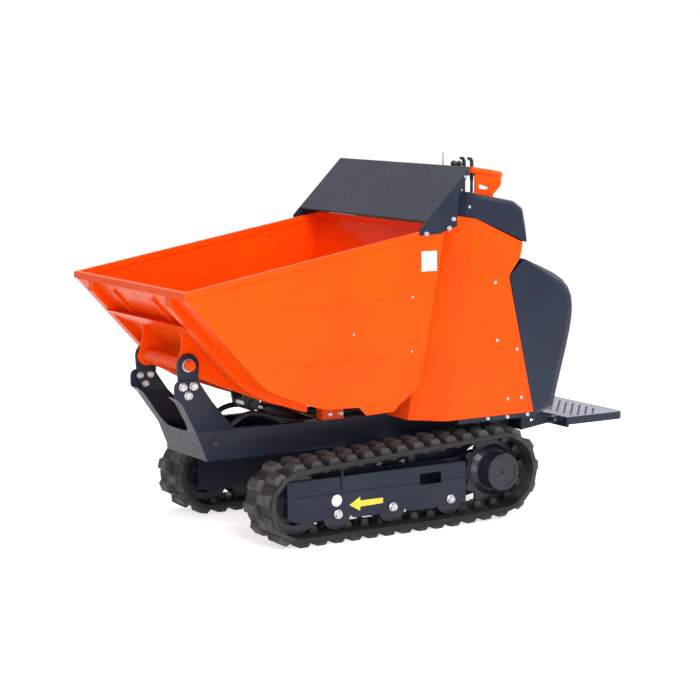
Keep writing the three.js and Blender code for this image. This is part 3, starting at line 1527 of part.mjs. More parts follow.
function exhaustMuffler() {
  const x = engineX + engineLength + mufflerRadius + engineFinPitch;
  const z = engineBottomZ + engineHeight + mufflerRadius;
  const half = mufflerLength / 2;
  const seatX = engineX + engineLength + contactGap;
  return join([
    turnedY([[0, -half], [mufflerRadius * 3 / 4, -half], [mufflerRadius, -half + mufflerRadius / 4],
      [mufflerRadius, half - mufflerRadius / 4], [mufflerRadius * 3 / 4, half], [0, half]],
    wheelSides / 2).translate([x, 0, z]),
    block(seatX, x, -portRadius * 2, portRadius * 2, z - mufflerRadius - portRadius * 2, z - mufflerRadius / 2),
  ]);
}

function airFilter() {
  const bottom = engineBottomZ + engineHeight + contactGap;
  const x = engineX + engineLength / 2;
  const y = engineWidth / 2 + filterRadius + contactGap;
  const elbow = filterRadius / 2;
  const headSide = engineWidth / 2 - engineFeetHeight + contactGap;
  return join([
    rodZ(x, y, filterRadius, bottom + filterHeight / 4, bottom + filterHeight, wheelSides / 2),
    block(x - elbow, x + elbow, headSide, y, bottom, bottom + filterHeight / 2),
  ]);
}

const fuelTankBottomZ = engineBottomZ + engineHeight + engineHeadHeight + contactGap;

function fuelTank() {
  const x = engineX + engineLength / 2;
  const halfX = fuelTankLength / 2;
  const halfY = fuelTankWidth / 2;
  const corner = fuelCapRadius;
  const body = slabZ([
    [x - halfX, -halfY, corner], [x + halfX, -halfY, corner], [x + halfX, halfY, corner],
    [x - halfX, halfY, corner],
  ], fuelTankBottomZ, fuelTankBottomZ + fuelTankHeight);
  const cap = rodZ(x, 0, fuelCapRadius, fuelTankBottomZ + fuelTankHeight - sink,
    fuelTankBottomZ + fuelTankHeight + fuelCapHeight, 12);
  return join([body, cap]);
}

function oilTank() {
  const half = oilTankWidth / 2;
  const bottom = deckTopZ + contactGap;
  const corner = fuelCapHeight;
  const body = slabZ([
    [oilTankX, -half, corner], [oilTankX + oilTankLength, -half, corner],
    [oilTankX + oilTankLength, half, corner], [oilTankX, half, corner],
  ], bottom, bottom + oilTankHeight);
  const cap = rodZ(oilTankX + oilTankLength / 2, half / 2, fuelCapRadius, bottom + oilTankHeight - sink,
    bottom + oilTankHeight + fuelCapHeight, 12);
  return join([body, cap]);
}

function battery() {
  const bottom = deckTopZ + contactGap;
  const y = batteryPlace - batteryWidth / 2;
  const top = bottom + batteryHeight;
  const pieces = [block(batteryX - batteryLength, batteryX, y, y + batteryWidth, bottom, top)];
  for (const share of [1 / 4, 3 / 4]) {
    pieces.push(rodZ(batteryX - batteryLength / 2, y + batteryWidth * share, portRadius,
      top - sink, top + portHeight, 8));
  }
  return join(pieces);
}

// Controls

function controlPlate() {
  const half = cowlHalfWidth - cowlWall - contactGap;
  const topZ = controlPlateZ + controlPlateThickness;
  const pieces = [block(controlPlateFrontX, controlPlateRearX, -half, half, controlPlateZ, topZ)];
  const bore = boreFor(leverShaftRadius, contactGap);
  for (const y of shaftCheekPlaces) {
    const cheek = slabY([
      [leverShaftX - leverHubRadius * 2, topZ - sink], [leverShaftX + leverHubRadius * 2, topZ - sink],
      [leverShaftX + leverHubRadius, leverShaftZ + leverHubRadius, leverHubRadius / 2],
      [leverShaftX - leverHubRadius, leverShaftZ + leverHubRadius, leverHubRadius / 2],
    ], y - shaftCheekThickness / 2, y + shaftCheekThickness / 2);
    pieces.push(cut(cheek, [rodY(leverShaftX, leverShaftZ, bore, y - overrun, y + overrun)]));
  }
  return join(pieces);
}

function leverShaft() {
  const overhang = shaftCheekThickness;
  return rodY(leverShaftX, leverShaftZ, leverShaftRadius, shaftCheekPlaces[0] - overhang,
    shaftCheekPlaces[1] + overhang);
}

// Levers are modelled about their own shaft axis
function leverHub(width) {
  const hub = rodY(0, 0, leverHubRadius, -width / 2, width / 2, 12);
  return { hub, bore: rodY(0, 0, boreFor(leverShaftRadius), -width, width) };
}

function shortLever() {
  const { hub, bore } = leverHub(leverHubWidth);
  const top = shortLeverTopZ - leverShaftZ;
  const stem = rodZ(0, 0, leverStemRadius, leverShaftRadius + sideGap, top - shortKnobRadius, 8);
  const knob = turnedY([[0, -shortKnobRadius], [shortKnobRadius * 0.7, -shortKnobRadius * 0.7],
    [shortKnobRadius, 0], [shortKnobRadius * 0.7, shortKnobRadius * 0.7], [0, shortKnobRadius]], smallSides);
  const upright = knob.rotate([90, 0, 0]).translate([0, 0, top - shortKnobRadius]);
  return cut(join([hub, stem, upright]), [bore]);
}

function tallLever() {
  const { hub, bore } = leverHub(leverHubWidth);
  const top = tallLeverTopZ - leverShaftZ;
  const stem = rodZ(0, 0, leverStemRadius, leverShaftRadius + sideGap, top - tallGripLength + sink, 6);
  const bend = top - tallGripRadius;
  const grip = sweep([
    [0, 0, top - tallGripLength], [0, 0, top - tallHookReach * 3 / 2],
    [-tallGripRadius / 2, 0, bend - tallGripRadius], [-tallHookReach * 2 / 3, 0, bend],
    [-tallHookReach, 0, bend - tallGripRadius / 2],
  ], tallGripRadius, smallSides, smallSides);
  return cut(join([hub, stem, grip]), [bore]);
}

function throttleLever() {
  const { hub, bore } = leverHub(leverHubWidth);
  const top = throttleTopZ - leverShaftZ;
  return cut(join([hub, rodZ(0, 0, throttleRadius, leverShaftRadius + sideGap, top, 8)]), [bore]);
}

function valveBank() {
  const top = controlPlateZ - contactGap;
  const x0 = leverShaftX - valveLength / 2;
  const yMiddle = (shortLeverPlaces[0] + tallLeverPlaces[1]) / 2;
  const y0 = yMiddle - valveWidth / 2;
  const pieces = [block(x0, x0 + valveLength, y0, y0 + valveWidth, top - valveHeight, top - valveHeight / 4)];
  const sectionWidth = valveWidth / valveSections;
  for (let section = 0; section < valveSections; section += 1) {
    const y = y0 + sectionWidth * (section + 1 / 2);
    pieces.push(rodZ(leverShaftX, y, sectionWidth / 3, top - valveHeight / 2, top, 8));
    pieces.push(rodX(y, top - valveHeight * 2 / 3, sectionWidth / 4, x0 - portHeight * 2, x0 + sink, 8));
  }
  return join(pieces);
}

// Handlebar: two windowed brackets and one bent tube across the operator's side

function handlebar() {
  const hoodAt = (x) => hoodFrontZ + ((hoodShoulderZ - hoodFrontZ) * (x - hoodFrontX)) / (hoodShoulderX - hoodFrontX);
  const corner = barTubeRadius * 4;
  const tube = sweep([
    [barFrontX, -barHalfSpan, barFrontZ],
    [(barFrontX + barRearX) / 2, -barHalfSpan, (barFrontZ + barRearZ) / 2],
    [barRearX - corner, -barHalfSpan, barRearZ + corner * 0.16],
    [barRearX - corner / 4, -barHalfSpan + corner / 4, barRearZ],
    [barRearX, -barHalfSpan + corner, barRearZ],
    [barRearX, 0, barRearZ],
    [barRearX, barHalfSpan - corner, barRearZ],
    [barRearX - corner / 4, barHalfSpan - corner / 4, barRearZ],
    [barRearX - corner, barHalfSpan, barRearZ + corner * 0.16],
    [(barFrontX + barRearX) / 2, barHalfSpan, (barFrontZ + barRearZ) / 2],
    [barFrontX, barHalfSpan, barFrontZ],
  ], barTubeRadius, smallSides, barSteps);
  const pieces = [tube];
  const legRight = barLegX + barLegWidth;
  for (const side of [-1, 1]) {
    const y0 = side * (barHalfSpan - barPlateThickness / 2);
    const y1 = side * (barHalfSpan + barPlateThickness / 2);
    const underTube = (x) => barFrontZ + ((barRearZ - barFrontZ) * (x - barFrontX)) / (barRearX - barFrontX);
    const plate = slabY([
      [barLegX - barLegWidth / 2, underTube(barLegX)], [barLegX - barLegWidth / 2, hoodAt(barLegX)],
      [barFootX + barFootLength, hoodAt(barFootX + barFootLength)],
      [barRearX - corner / 2, (underTube(barRearX) + hoodAt(barFootX)) / 2, corner / 3],
      [barRearX - corner / 2, underTube(barRearX)],
    ], y0, y1);
    const window = slabY([
      [legRight, underTube(legRight) - barBand * 2, barPlateThickness],
      [legRight, hoodAt(legRight) + barBand, barPlateThickness],
      [barFootX + barFootLength / 2, hoodAt(barFootX) + barBand, barPlateThickness],
      [barRearX - corner * 3 / 2, underTube(barRearX) - barBand * 2, barPlateThickness],
    ], y0 - side * overrun, y1 + side * overrun);
    pieces.push(cut(plate, [window]));
    pieces.push(block(barLegX - barLegWidth, barFootX + barFootLength, side * (barHalfSpan - barFootWidth / 2),
      side * (barHalfSpan + barFootWidth / 2), hoodAt(barFootX + barFootLength), hoodAt(barLegX) + barPlateThickness / 2));
  }
  const reach = cowlHalfWidth + overrun;
  const room = slabY(offsetOutline(hoodOutline(contactGap), contactGap), -reach, reach);
  return cut(join(pieces), [room]);
}

// Footplate and its bracket

function platformBracket() {
  const pinBore = boreFor(hingePinRadius, contactGap);
  const bossReach = hingePinRadius * 3 / 2;
  const pieces = [];
  const backX = beamRearX + contactGap;
  for (const side of [-1, 1]) {
    const y0 = side * (bracketPlace - bracketThickness);
    const y1 = side * bracketPlace;
    const plate = slabY([
      [backX, bracketTailZ], [footplateHingeX, footplateHingeZ - bossReach],
      [footplateHingeX + bossReach, footplateHingeZ, hingePinRadius],
      [footplateHingeX + bossReach / 2, footplateHingeZ + bossReach * 0.9],
      [footplateHingeX - bossReach * 3 / 2, footplateHingeZ + bossReach * 0.9],
      [footplateHingeX - bossReach * 2, footplateHingeZ + bossReach * 3 / 2],
      [backX + bracketWindowLength * 2, bracketBackTopZ], [backX, bracketBackTopZ],
    ], y0, y1);
    const window = slabY([
      [bracketWindowX, bracketTailZ + bracketThickness * 3], [bracketWindowX + bracketWindowLength, bracketWindowTopZ],
      [bracketWindowX, bracketWindowTopZ],
    ], y0 - side * overrun, y1 + side * overrun);
    pieces.push(cut(plate, [window, rodY(footplateHingeX, footplateHingeZ, pinBore, y0 - side * overrun,
      y1 + side * overrun)]));
  }
  pieces.push(block(backX, backX + bracketThickness, -bracketPlace + sink, bracketPlace - sink,
    bracketTailZ + sink, bracketBackTopZ - sink));
  const tieX = bracketWindowX + bracketWindowLength + bracketThickness * 2;
  pieces.push(rodY(tieX, footplateHingeZ + hingePinRadius, hingePinRadius, -bracketPlace + sink,
    bracketPlace - sink));
  return join(pieces);
}

function hingePin() {
  const reach = bracketPlace + hingeLugWidth + sideGap * 2;
  return rodY(footplateHingeX, footplateHingeZ, hingePinRadius, -reach, reach);
}

function footplateOutline(inset) {
  const corner = footplateCorner - inset;
  return [
    [footplateFrontX + inset, -footplateHalfWidth + inset], [footplateRearX - inset, -footplateHalfWidth + inset, corner],
    [footplateRearX - inset, footplateHalfWidth - inset, corner], [footplateFrontX + inset, footplateHalfWidth - inset],
  ];
}

function footplateFrame() {
  const bottom = footplateTopZ - footplateThickness;
  const outer = slabZ(footplateOutline(0), bottom, footplateTopZ, footplateRim / 4);
  const inner = slabZ(footplateOutline(footplateRim), bottom - overrun, footplateTopZ + overrun);
  const ledge = slabZ(footplateOutline(sink), bottom, footplateTopZ - treadThickness - contactGap);
  const ledgeHole = slabZ(footplateOutline(footplateRim * 2), bottom - overrun, footplateTopZ + overrun);
  const pieces = [cut(outer, [inner]), cut(ledge, [ledgeHole])];
  pieces.push(block(footplateFrontX, footplateFrontX + footplateRim, -footplateHalfWidth, footplateHalfWidth,
    footplateTopZ - footplateFrontDepth, bottom + footplateRim / 2));
  const middleX = (footplateFrontX + footplateRearX) / 2;
  pieces.push(block(middleX - footplateRim / 2, middleX + footplateRim / 2, -footplateHalfWidth + sink,
    footplateHalfWidth - sink, bottom, footplateTopZ - treadThickness - contactGap));
  const bore = boreFor(hingePinRadius);
  for (const side of [-1, 1]) {
    const y0 = side * (bracketPlace + sideGap);
    const y1 = side * (bracketPlace + sideGap + hingeLugWidth);
    const lug = slabY([
      [footplateHingeX - hingePinRadius * 2, footplateHingeZ - hingePinRadius * 3 / 2, hingePinRadius],
      [footplateFrontX + footplateRim / 2, bottom + sink], [footplateFrontX + footplateRim / 2, footplateTopZ - sink],
      [footplateHingeX - hingePinRadius * 2, footplateHingeZ + hingePinRadius * 3 / 2, hingePinRadius],
    ], y0, y1);
    pieces.push(cut(lug, [rodY(footplateHingeX, footplateHingeZ, bore, y0 - side * overrun, y1 + side * overrun)]));
  }
  return join(pieces);
}

function footplateTread() {
  const top = footplateTopZ;
  const plate = slabZ(footplateOutline(footplateRim + contactGap), top - treadThickness, top);
  const field = slabZ(footplateOutline(footplateRim + treadSlotMargin), top - treadThickness * 2, top + overrun);
  const turn = treadSlotAngle * degrees;
  const along = [Math.cos(turn), Math.sin(turn)];
  const depth = footplateRearX - footplateFrontX;
  const count = Math.floor((2 * footplateHalfWidth) / treadSlotPitch);
  const middleX = (footplateFrontX + footplateRearX) / 2;
  const slots = [];
  for (let slot = 0; slot <= count; slot += 1) {
    const y = (slot - count / 2) * treadSlotPitch;
    const geometry = new THREE.BoxGeometry(depth, treadSlotWidth, overrun);
    geometry.rotateZ(Math.atan2(along[1], along[0])).translate(middleX, y, top);
    slots.push(solidOf(geometry));
  }
  return cut(plate, [join(slots).intersect(field)]);
}

// The machine, piece by piece

place('chassis_frame', chassisFrame(), darkPaint);
for (const [side, hand] of [[-1, 'left'], [1, 'right']]) {
  const y = side * trackCentre;
  place(`pivot_ear_${hand}`, pivotEar(side), darkPaint);
  place(`pivot_pin_${hand}`, pivotPin(side), orangePaint);
  place(`track_frame_${hand}`, trackFrame(side), darkPaint);
  place(`track_belt_${hand}`, trackBelt(side), rubber);
  place(`idler_wheel_${hand}`, idlerWheel(), castIron, 0, y, idlerZ);
  place(`tension_yoke_${hand}`, tensionYoke(), steel, 0, y, idlerZ);
  rollerPlaces.forEach((x, index) => {
    place(`bottom_roller_${hand}_${index + 1}`, bottomRoller(), castIron, x, y, rollerZ);
  });
  place(`drive_sprocket_${hand}`, driveSprocket(side), darkPaint, wheelbase, y, sprocketZ);
  place(`drive_motor_${hand}`, driveMotor(side), castIron, wheelbase, 0, sprocketZ);
}
place('skip_tub', skipTub(), orangePaint);
place('skip_underframe', skipFrame(), orangePaint);
place('cylinder_clevis', cylinderClevis(), blackMetal);
place('clevis_pin', clevisPin(), steel);
place('spill_guard', spillGuard(), darkPaint);
place('lift_hose_left', liftHose(hoseRoutes.left), rubber);
place('lift_hose_right', liftHose(hoseRoutes.right), rubber);
const rod = place('cylinder_rod', cylinderRod(), steel, eyeX, 0, eyeZ);
rod.rotation.y = -cylinderAngle;
const barrel = place('cylinder_barrel', cylinderBarrel(), blackMetal, eyeX, 0, eyeZ);
barrel.rotation.y = -cylinderAngle;
const panels = cowlPanels();
place('cowl_left', panels.left, orangePaint);
place('cowl_right', panels.right, orangePaint);
place('cowl_front', panels.front, orangePaint);
place('cowl_back', cowlBack(), orangePaint);
place('console_hood', consoleHood(), moulding);
place('rear_cover', rearCover(), moulding);
place('deck_plate', deckPlate(), darkPaint);
place('engine_block', engineBlock(), castIron);
place('hydraulic_pump', hydraulicPump(), castIron);
place('exhaust_muffler', exhaustMuffler(), blackMetal);
place('air_filter', airFilter(), blackMetal);
place('fuel_tank', fuelTank(), blackMetal);
place('oil_tank', oilTank(), darkPaint);
place('battery', battery(), blackMetal);
place('control_plate', controlPlate(), darkPaint);
place('lever_shaft', leverShaft(), steel);
place('valve_bank', valveBank(), castIron);
const shortNames = ['tip_lever', 'speed_lever'];
shortLeverPlaces.forEach((y, index) => {
  place(shortNames[index], shortLever(), blackMetal, leverShaftX, y, leverShaftZ);
});
const tallNames = ['drive_lever_right', 'drive_lever_left'];
tallLeverPlaces.forEach((y, index) => {
  place(tallNames[index], tallLever(), blackMetal, leverShaftX, y, leverShaftZ);
});
place('throttle_lever', throttleLever(), steel, leverShaftX, throttlePlace, leverShaftZ);
place('handlebar', handlebar(), orangePaint);
place('platform_bracket', platformBracket(), darkPaint);
place('footplate_pin', hingePin(), steel);
place('footplate_frame', footplateFrame(), moulding);
place('footplate_tread', footplateTread(), treadPaint);

export default machine;
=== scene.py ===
"""Looks of the power barrow: finishes, fasteners, lights and camera round its CAD frame.

Places are in the drawing's millimetres: x counts from the axle of the front idlers to
the rear, y from the middle plane, z from the ground. Colours are linear.
"""

import json
import math
from typing import NamedTuple

import bmesh
import bpy
from mathutils import Matrix, Vector


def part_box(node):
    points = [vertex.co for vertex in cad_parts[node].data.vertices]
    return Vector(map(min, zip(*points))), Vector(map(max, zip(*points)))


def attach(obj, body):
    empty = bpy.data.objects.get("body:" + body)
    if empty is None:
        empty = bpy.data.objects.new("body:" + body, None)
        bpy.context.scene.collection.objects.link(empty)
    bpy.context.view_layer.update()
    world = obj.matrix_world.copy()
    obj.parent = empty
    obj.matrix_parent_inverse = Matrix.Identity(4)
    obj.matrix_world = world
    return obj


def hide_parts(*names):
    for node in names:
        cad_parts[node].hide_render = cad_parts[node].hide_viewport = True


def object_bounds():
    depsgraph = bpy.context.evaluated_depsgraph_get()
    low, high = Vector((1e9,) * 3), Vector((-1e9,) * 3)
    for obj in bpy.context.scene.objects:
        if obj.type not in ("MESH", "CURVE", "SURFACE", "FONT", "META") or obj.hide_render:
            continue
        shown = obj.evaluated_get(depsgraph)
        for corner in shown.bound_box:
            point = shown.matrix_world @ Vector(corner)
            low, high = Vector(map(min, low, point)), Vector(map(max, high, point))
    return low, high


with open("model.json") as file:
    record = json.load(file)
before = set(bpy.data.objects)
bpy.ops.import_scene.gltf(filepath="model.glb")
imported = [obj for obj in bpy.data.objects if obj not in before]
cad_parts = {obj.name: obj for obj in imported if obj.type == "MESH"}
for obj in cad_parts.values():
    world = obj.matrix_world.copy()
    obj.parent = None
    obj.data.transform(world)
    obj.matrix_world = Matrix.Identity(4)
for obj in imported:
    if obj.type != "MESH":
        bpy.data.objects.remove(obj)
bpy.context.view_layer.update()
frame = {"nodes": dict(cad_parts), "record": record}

MM = 0.001
# The drawing's x at the frame's zero
ORIGIN_X = 540.0
BOTH = ((-1, "left"), (1, "right"))


# Places, taken from the frame where a node has them


def at(x, y, z):
    """A place in metres."""
    return Vector(((x - ORIGIN_X) * MM, y * MM, z * MM))


def extent(node):
    """A node's lowest and highest corners."""
    shift = Vector((ORIGIN_X, 0, 0))
    return tuple(Vector(corner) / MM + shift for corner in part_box(node))


def outer_face(node):
    low, high = extent(node)
    return max(abs(low.y), abs(high.y))


def inner_face(node):
    low, high = extent(node)
    return min(abs(low.y), abs(high.y))


def round_radius(node):
    low, high = extent(node)
    return (high.z - low.z) / 2


def side_centre(node):
    low, high = extent(node)
    return (low.x + high.x) / 2, (low.z + high.z) / 2


def touch(node, x, z, side):
    """The place and normal of a node's outer side at x and z, met from outside along Y."""
    far_out = at(x, side * 2 * outer_face(node), z)
    hit, place, normal, _ = frame["nodes"][node].ray_cast(far_out, Vector((0, -side, 0)))
    if not hit:
        raise ValueError(f"{node} has no side at x {x}, z {z}")
    return place, normal


# Colours

ORANGE = (1.0, 0.09, 0.002, 1)
ORANGE_DEEP = (0.95, 0.078, 0.002, 1)
NAVY = (0.013, 0.018, 0.034, 1)
NAVY_LIGHT = (0.018, 0.024, 0.042, 1)
MOULDING = (0.01, 0.015, 0.034, 1)
MOULDING_LIGHT = (0.013, 0.02, 0.042, 1)
RUBBER = (0.009, 0.009, 0.0095, 1)
RUBBER_DUST_AND_HIGHLIGHT = (0.105, 0.105, 0.103, 1)
ZINC = (0.62, 0.63, 0.65, 1)
ZINC_DARK = (0.36, 0.37, 0.4, 1)
BLACK = (0.012, 0.012, 0.014, 1)
BLACK_METAL_LIGHT = (0.028, 0.028, 0.032, 1)
BLACK_PLASTIC_LIGHT = (0.02, 0.02, 0.022, 1)
HOSE_LIGHT = (0.024, 0.024, 0.026, 1)
TREAD = (0.3, 0.31, 0.38, 1)
TREAD_WORN = (0.22, 0.23, 0.28, 1)
CAST = (0.014, 0.017, 0.026, 1)
CAST_LIGHT = (0.022, 0.027, 0.038, 1)
ALLOY = (0.34, 0.34, 0.35, 1)
ALLOY_DARK = (0.2, 0.2, 0.21, 1)
YELLOW = (0.86, 0.63, 0.03, 1)
YELLOW_FADED = (0.93, 0.75, 0.09, 1)
LABEL_WHITE = (0.82, 0.82, 0.8, 1)
LABEL_WHITE_FADED = (0.7, 0.7, 0.69, 1)
FLOOR = (0.88, 0.88, 0.88, 1)

COAT_ROUGHNESS = 0.1
BEVEL_SAMPLES = 4
NARROW = (0.35, 0.7)
WIDE = (0.35, 0.75)
MIDDLE = (0.3, 0.7)


# Materials


class Finish:
    """A principled material with helpers that add procedural detail to it."""

    def __init__(self, name, roughness=0.5, metallic=0.0, coat=0.0, gloss=0.5):
        self.material = bpy.data.materials.new(name)
        self.material.use_nodes = True
        self.nodes = self.material.node_tree.nodes
        self.links = self.material.node_tree.links
        self.shader = self.nodes["Principled BSDF"]
        for key, number in (
            ("Roughness", roughness),
            ("Metallic", metallic),
            ("Coat Weight", coat),
            ("Coat Roughness", COAT_ROUGHNESS),
            ("Specular IOR Level", gloss),
        ):
            self.shader.inputs[key].default_value = number
        self.place = self.nodes.new("ShaderNodeTexCoord").outputs["Object"]

    def noise(self, scale, detail, roughness=0.5, stretch=None):
        place = self.place
        if stretch:
            mapping = self.nodes.new("ShaderNodeMapping")
            mapping.inputs["Scale"].default_value = stretch
            self.links.new(place, mapping.inputs["Vector"])
            place = mapping.outputs["Vector"]
        node = self.nodes.new("ShaderNodeTexNoise")
        node.inputs["Scale"].default_value = scale
        node.inputs["Detail"].default_value = detail
        node.inputs["Roughness"].default_value = roughness
        self.links.new(place, node.inputs["Vector"])
        return node.outputs["Fac"]

    def ramp(self, value, low, high, out_low=0.0, out_high=1.0):
        node = self.nodes.new("ShaderNodeMapRange")
        node.interpolation_type = "SMOOTHSTEP"
        for key, number in (
            ("From Min", low),
            ("From Max", high),
            ("To Min", out_low),
            ("To Max", out_high),
        ):
            node.inputs[key].default_value = number
        self.links.new(value, node.inputs["Value"])
        return node.outputs["Result"]

    def mix(self, share, first, second):
        node = self.nodes.new("ShaderNodeMix")
        node.data_type = "RGBA"
        self.links.new(share, node.inputs["Factor"])
        for key, colour in (("A", first), ("B", second)):
            socket = next(s for s in node.inputs if s.name == key and s.type == "RGBA")
            socket.default_value = colour
        return next(s for s in node.outputs if s.type == "RGBA")

    def math(self, operation, first, second):
        node = self.nodes.new("ShaderNodeMath")
        node.operation = operation
        for socket, value in zip(node.inputs, (first, second)):
            if isinstance(value, (int, float)):
                socket.default_value = value
            else:
                self.links.new(value, socket)
        return node.outputs[0]

    def pointiness(self):
        return self.nodes.new("ShaderNodeNewGeometry").outputs["Pointiness"]

    def colour(self, socket):
        self.links.new(socket, self.shader.inputs["Base Color"])

    def bump(self, height, strength, depth):
        node = self.nodes.new("ShaderNodeBump")
        node.inputs["Strength"].default_value = strength
        node.inputs["Distance"].default_value = depth
        self.links.new(height, node.inputs["Height"])
        self.links.new(node.outputs["Normal"], self.shader.inputs["Normal"])

    def clouds(self, tones, span, scale, detail, roughness=0.5, stretch=None):
        """Two tones in soft clouds of noise."""
        cloud = self.ramp(self.noise(scale, detail, roughness, stretch), *span)
        self.colour(self.mix(cloud, *tones))

    def uneven(self, least, most, scale, detail):
        """A roughness that wanders from least to most."""
        wander = self.ramp(self.noise(scale, detail), *MIDDLE, least, most)
        self.links.new(wander, self.shader.inputs["Roughness"])

    def grain(self, scale, strength, depth, detail=2):
        """A fine grain of the surface; its depth is in metres."""
        self.bump(self.noise(scale, detail), strength, depth)

    def soft_edges(self, radius):
        """Rounds the light on sharp edges, as a real sheet bend or casting does."""
        bevel = self.nodes.new("ShaderNodeBevel")
        bevel.samples = BEVEL_SAMPLES
        bevel.inputs["Radius"].default_value = radius
        target = self.shader.inputs["Normal"]
        if target.is_linked:
            target = target.links[0].from_node.inputs["Normal"]
        self.links.new(bevel.outputs["Normal"], target)


def orange_finish(name, edge):
    finish = Finish(name, coat=0.1, gloss=0.06)
    finish.clouds((ORANGE, ORANGE_DEEP), NARROW, scale=3.5, detail=2)
    finish.uneven(0.26, 0.36, scale=18, detail=4)
    finish.grain(scale=700, strength=0.04, depth=0.0006)
    finish.soft_edges(edge)
    return finish.material


def orange_paint():
    return orange_finish("orange_paint", edge=0.002)


def cowl_paint():
    return orange_finish("cowl_paint", edge=0.008)


def dark_paint():
    finish = Finish("dark_paint", coat=0.08, gloss=0.18)
    finish.clouds((NAVY, NAVY_LIGHT), WIDE, scale=5, detail=4, roughness=0.6)
    finish.uneven(0.36, 0.46, scale=40, detail=3)
    finish.grain(scale=900, strength=0.06, depth=0.0006)
    finish.soft_edges(0.0025)
    return finish.material


def moulding():
    finish = Finish("moulding", coat=0.35, gloss=0.1)
    finish.clouds((MOULDING, MOULDING_LIGHT), NARROW, scale=5, detail=3)
    finish.uneven(0.34, 0.46, scale=25, detail=3)
    finish.grain(scale=1500, strength=0.08, depth=0.0004)
    finish.soft_edges(0.006)
    return finish.material


def track_rubber():
    """The crests of the lugs are lighter, in random patches of dust and as a painted
    highlight; the valleys and flanks stay dark.
    """
    finish = Finish("track_rubber", gloss=0.3)
    patches = finish.noise(scale=28, detail=6, roughness=0.65)
    dust = finish.ramp(patches, *MIDDLE, out_low=0.35)
    # Painted highlight: the pointiness mask lightens the convex crests as if they caught the
    # light.
    crest = finish.ramp(finish.pointiness(), low=0.51, high=0.6)
    crest_highlight_share = 0.75
    dust_and_painted_highlight = finish.math("MULTIPLY", dust, finish.math("MULTIPLY", crest, crest_highlight_share))
    finish.colour(finish.mix(dust_and_painted_highlight, RUBBER, RUBBER_DUST_AND_HIGHLIGHT))
    finish.uneven(0.5, 0.72, scale=60, detail=3)
    grain = finish.ramp(finish.noise(scale=240, detail=3), *MIDDLE, out_low=0.75)
    finish.bump(finish.math("ADD", grain, dust), strength=0.12, depth=0.0012)
    finish.soft_edges(0.003)
    return finish.material


def zinc_steel():
    finish = Finish("zinc_steel", metallic=1.0)
    finish.clouds((ZINC, ZINC_DARK), MIDDLE, scale=120, detail=4)
    finish.uneven(0.22, 0.42, scale=300, detail=2)
    finish.soft_edges(0.001)
    return finish.material


def black_metal():
    finish = Finish("black_metal", gloss=0.4)
    finish.clouds((BLACK, BLACK_METAL_LIGHT), NARROW, scale=30, detail=4)
    finish.uneven(0.3, 0.5, scale=60, detail=3)
    finish.grain(scale=800, strength=0.1, depth=0.0005)
    finish.soft_edges(0.0015)
    return finish.material


def black_plastic():
    finish = Finish("black_plastic", gloss=0.4)
    finish.clouds((BLACK, BLACK_PLASTIC_LIGHT), NARROW, scale=50, detail=3)
    finish.uneven(0.36, 0.54, scale=90, detail=3)
    finish.grain(scale=1600, strength=0.15, depth=0.0004)
    return finish.material


def tread_paint():
    finish = Finish("tread_paint")
    scuffs, lengthwise = (0.5, 0.72), (1, 0.3, 1)
    finish.clouds((TREAD, TREAD_WORN), scuffs, 60, 5, roughness=0.7, stretch=lengthwise)
    finish.grain(scale=420, strength=0.35, depth=0.0008)
    finish.soft_edges(0.001)
    return finish.material


def cast_metal():
    finish = Finish("cast_metal", coat=0.22, gloss=0.2)
    finish.clouds((CAST, CAST_LIGHT), WIDE, scale=22, detail=5, roughness=0.6)
    finish.uneven(0.26, 0.42, scale=70, detail=3)
    finish.grain(scale=500, strength=0.12, depth=0.0008, detail=3)
    finish.soft_edges(0.003)
    return finish.material


def engine_metal():
    finish = Finish("engine_metal", metallic=0.9)
    finish.clouds((ALLOY, ALLOY_DARK), NARROW, scale=30, detail=5)
    finish.grain(scale=400, strength=0.3, depth=0.0008, detail=3)
    return finish.material


def hose_rubber():
    finish = Finish("hose_rubber", gloss=0.4)
    along = (0.2, 1, 1)
    finish.clouds((BLACK, HOSE_LIGHT), NARROW, scale=90, detail=3, stretch=along)
    finish.uneven(0.4, 0.6, scale=120, detail=2)
    finish.grain(scale=600, strength=0.25, depth=0.0005)
    return finish.material


def label_finish(name, tones):
    finish = Finish(name, roughness=0.38)
    finish.clouds(tones, WIDE, scale=35, detail=4, roughness=0.6)
    finish.grain(scale=300, strength=0.08, depth=0.0003)
    return finish.material


def label_yellow():
    return label_finish("label_yellow", (YELLOW, YELLOW_FADED))


def label_white():
    return label_finish("label_white", (LABEL_WHITE, LABEL_WHITE_FADED))


MATERIALS = {
    make.__name__: make()
    for make in (
        orange_paint,
        cowl_paint,
        dark_paint,
        moulding,
        track_rubber,
        zinc_steel,
        black_metal,
        black_plastic,
        tread_paint,
        cast_metal,
        engine_metal,
        hose_rubber,
        label_yellow,
        label_white,
    )
}

FINISH_OF_NODE = {
    "cowl_left": "cowl_paint",
    "cowl_right": "cowl_paint",
    "cowl_front": "cowl_paint",
    "clevis_pin": "black_metal",
}


def dress_nodes():
    """Gives each CAD node its slot's finish, or its own where it has one."""
    for part in frame["record"]["subparts"]:
        node = frame["nodes"][part["node"]]
        material = MATERIALS[FINISH_OF_NODE.get(part["node"], part["material_slot"])]
        node.data.materials.clear()
        node.data.materials.append(material)


# The builder of small mesh pieces

EMBED = 0.3
SINK = 0.05
CHAMFER_SHARE = 0.4
CROWN_SHARE = 1.04
CORNER_SLOPE = 0.58
DISH = ((-0.4, 0.36), (0.25, 0.34), (0.25, 0.26), (0.05, 0.22))
DISH_CENTRE = (0.05, 0.4)
ROD_SHARE = 0.3
BUTTON = ((0.35, 1.0), (0.8, 0.8), (1.0, 0.52), (0.99, 0.4), (0.5, 0.36))
RIPPLE = 0.8
BEAD_END = 0.3
ROUND_SIDES = 24
BEAD_SIDES = 6
SHARP_ANGLE = math.radians(35)
BEAD_SHARP_ANGLE = math.radians(60)


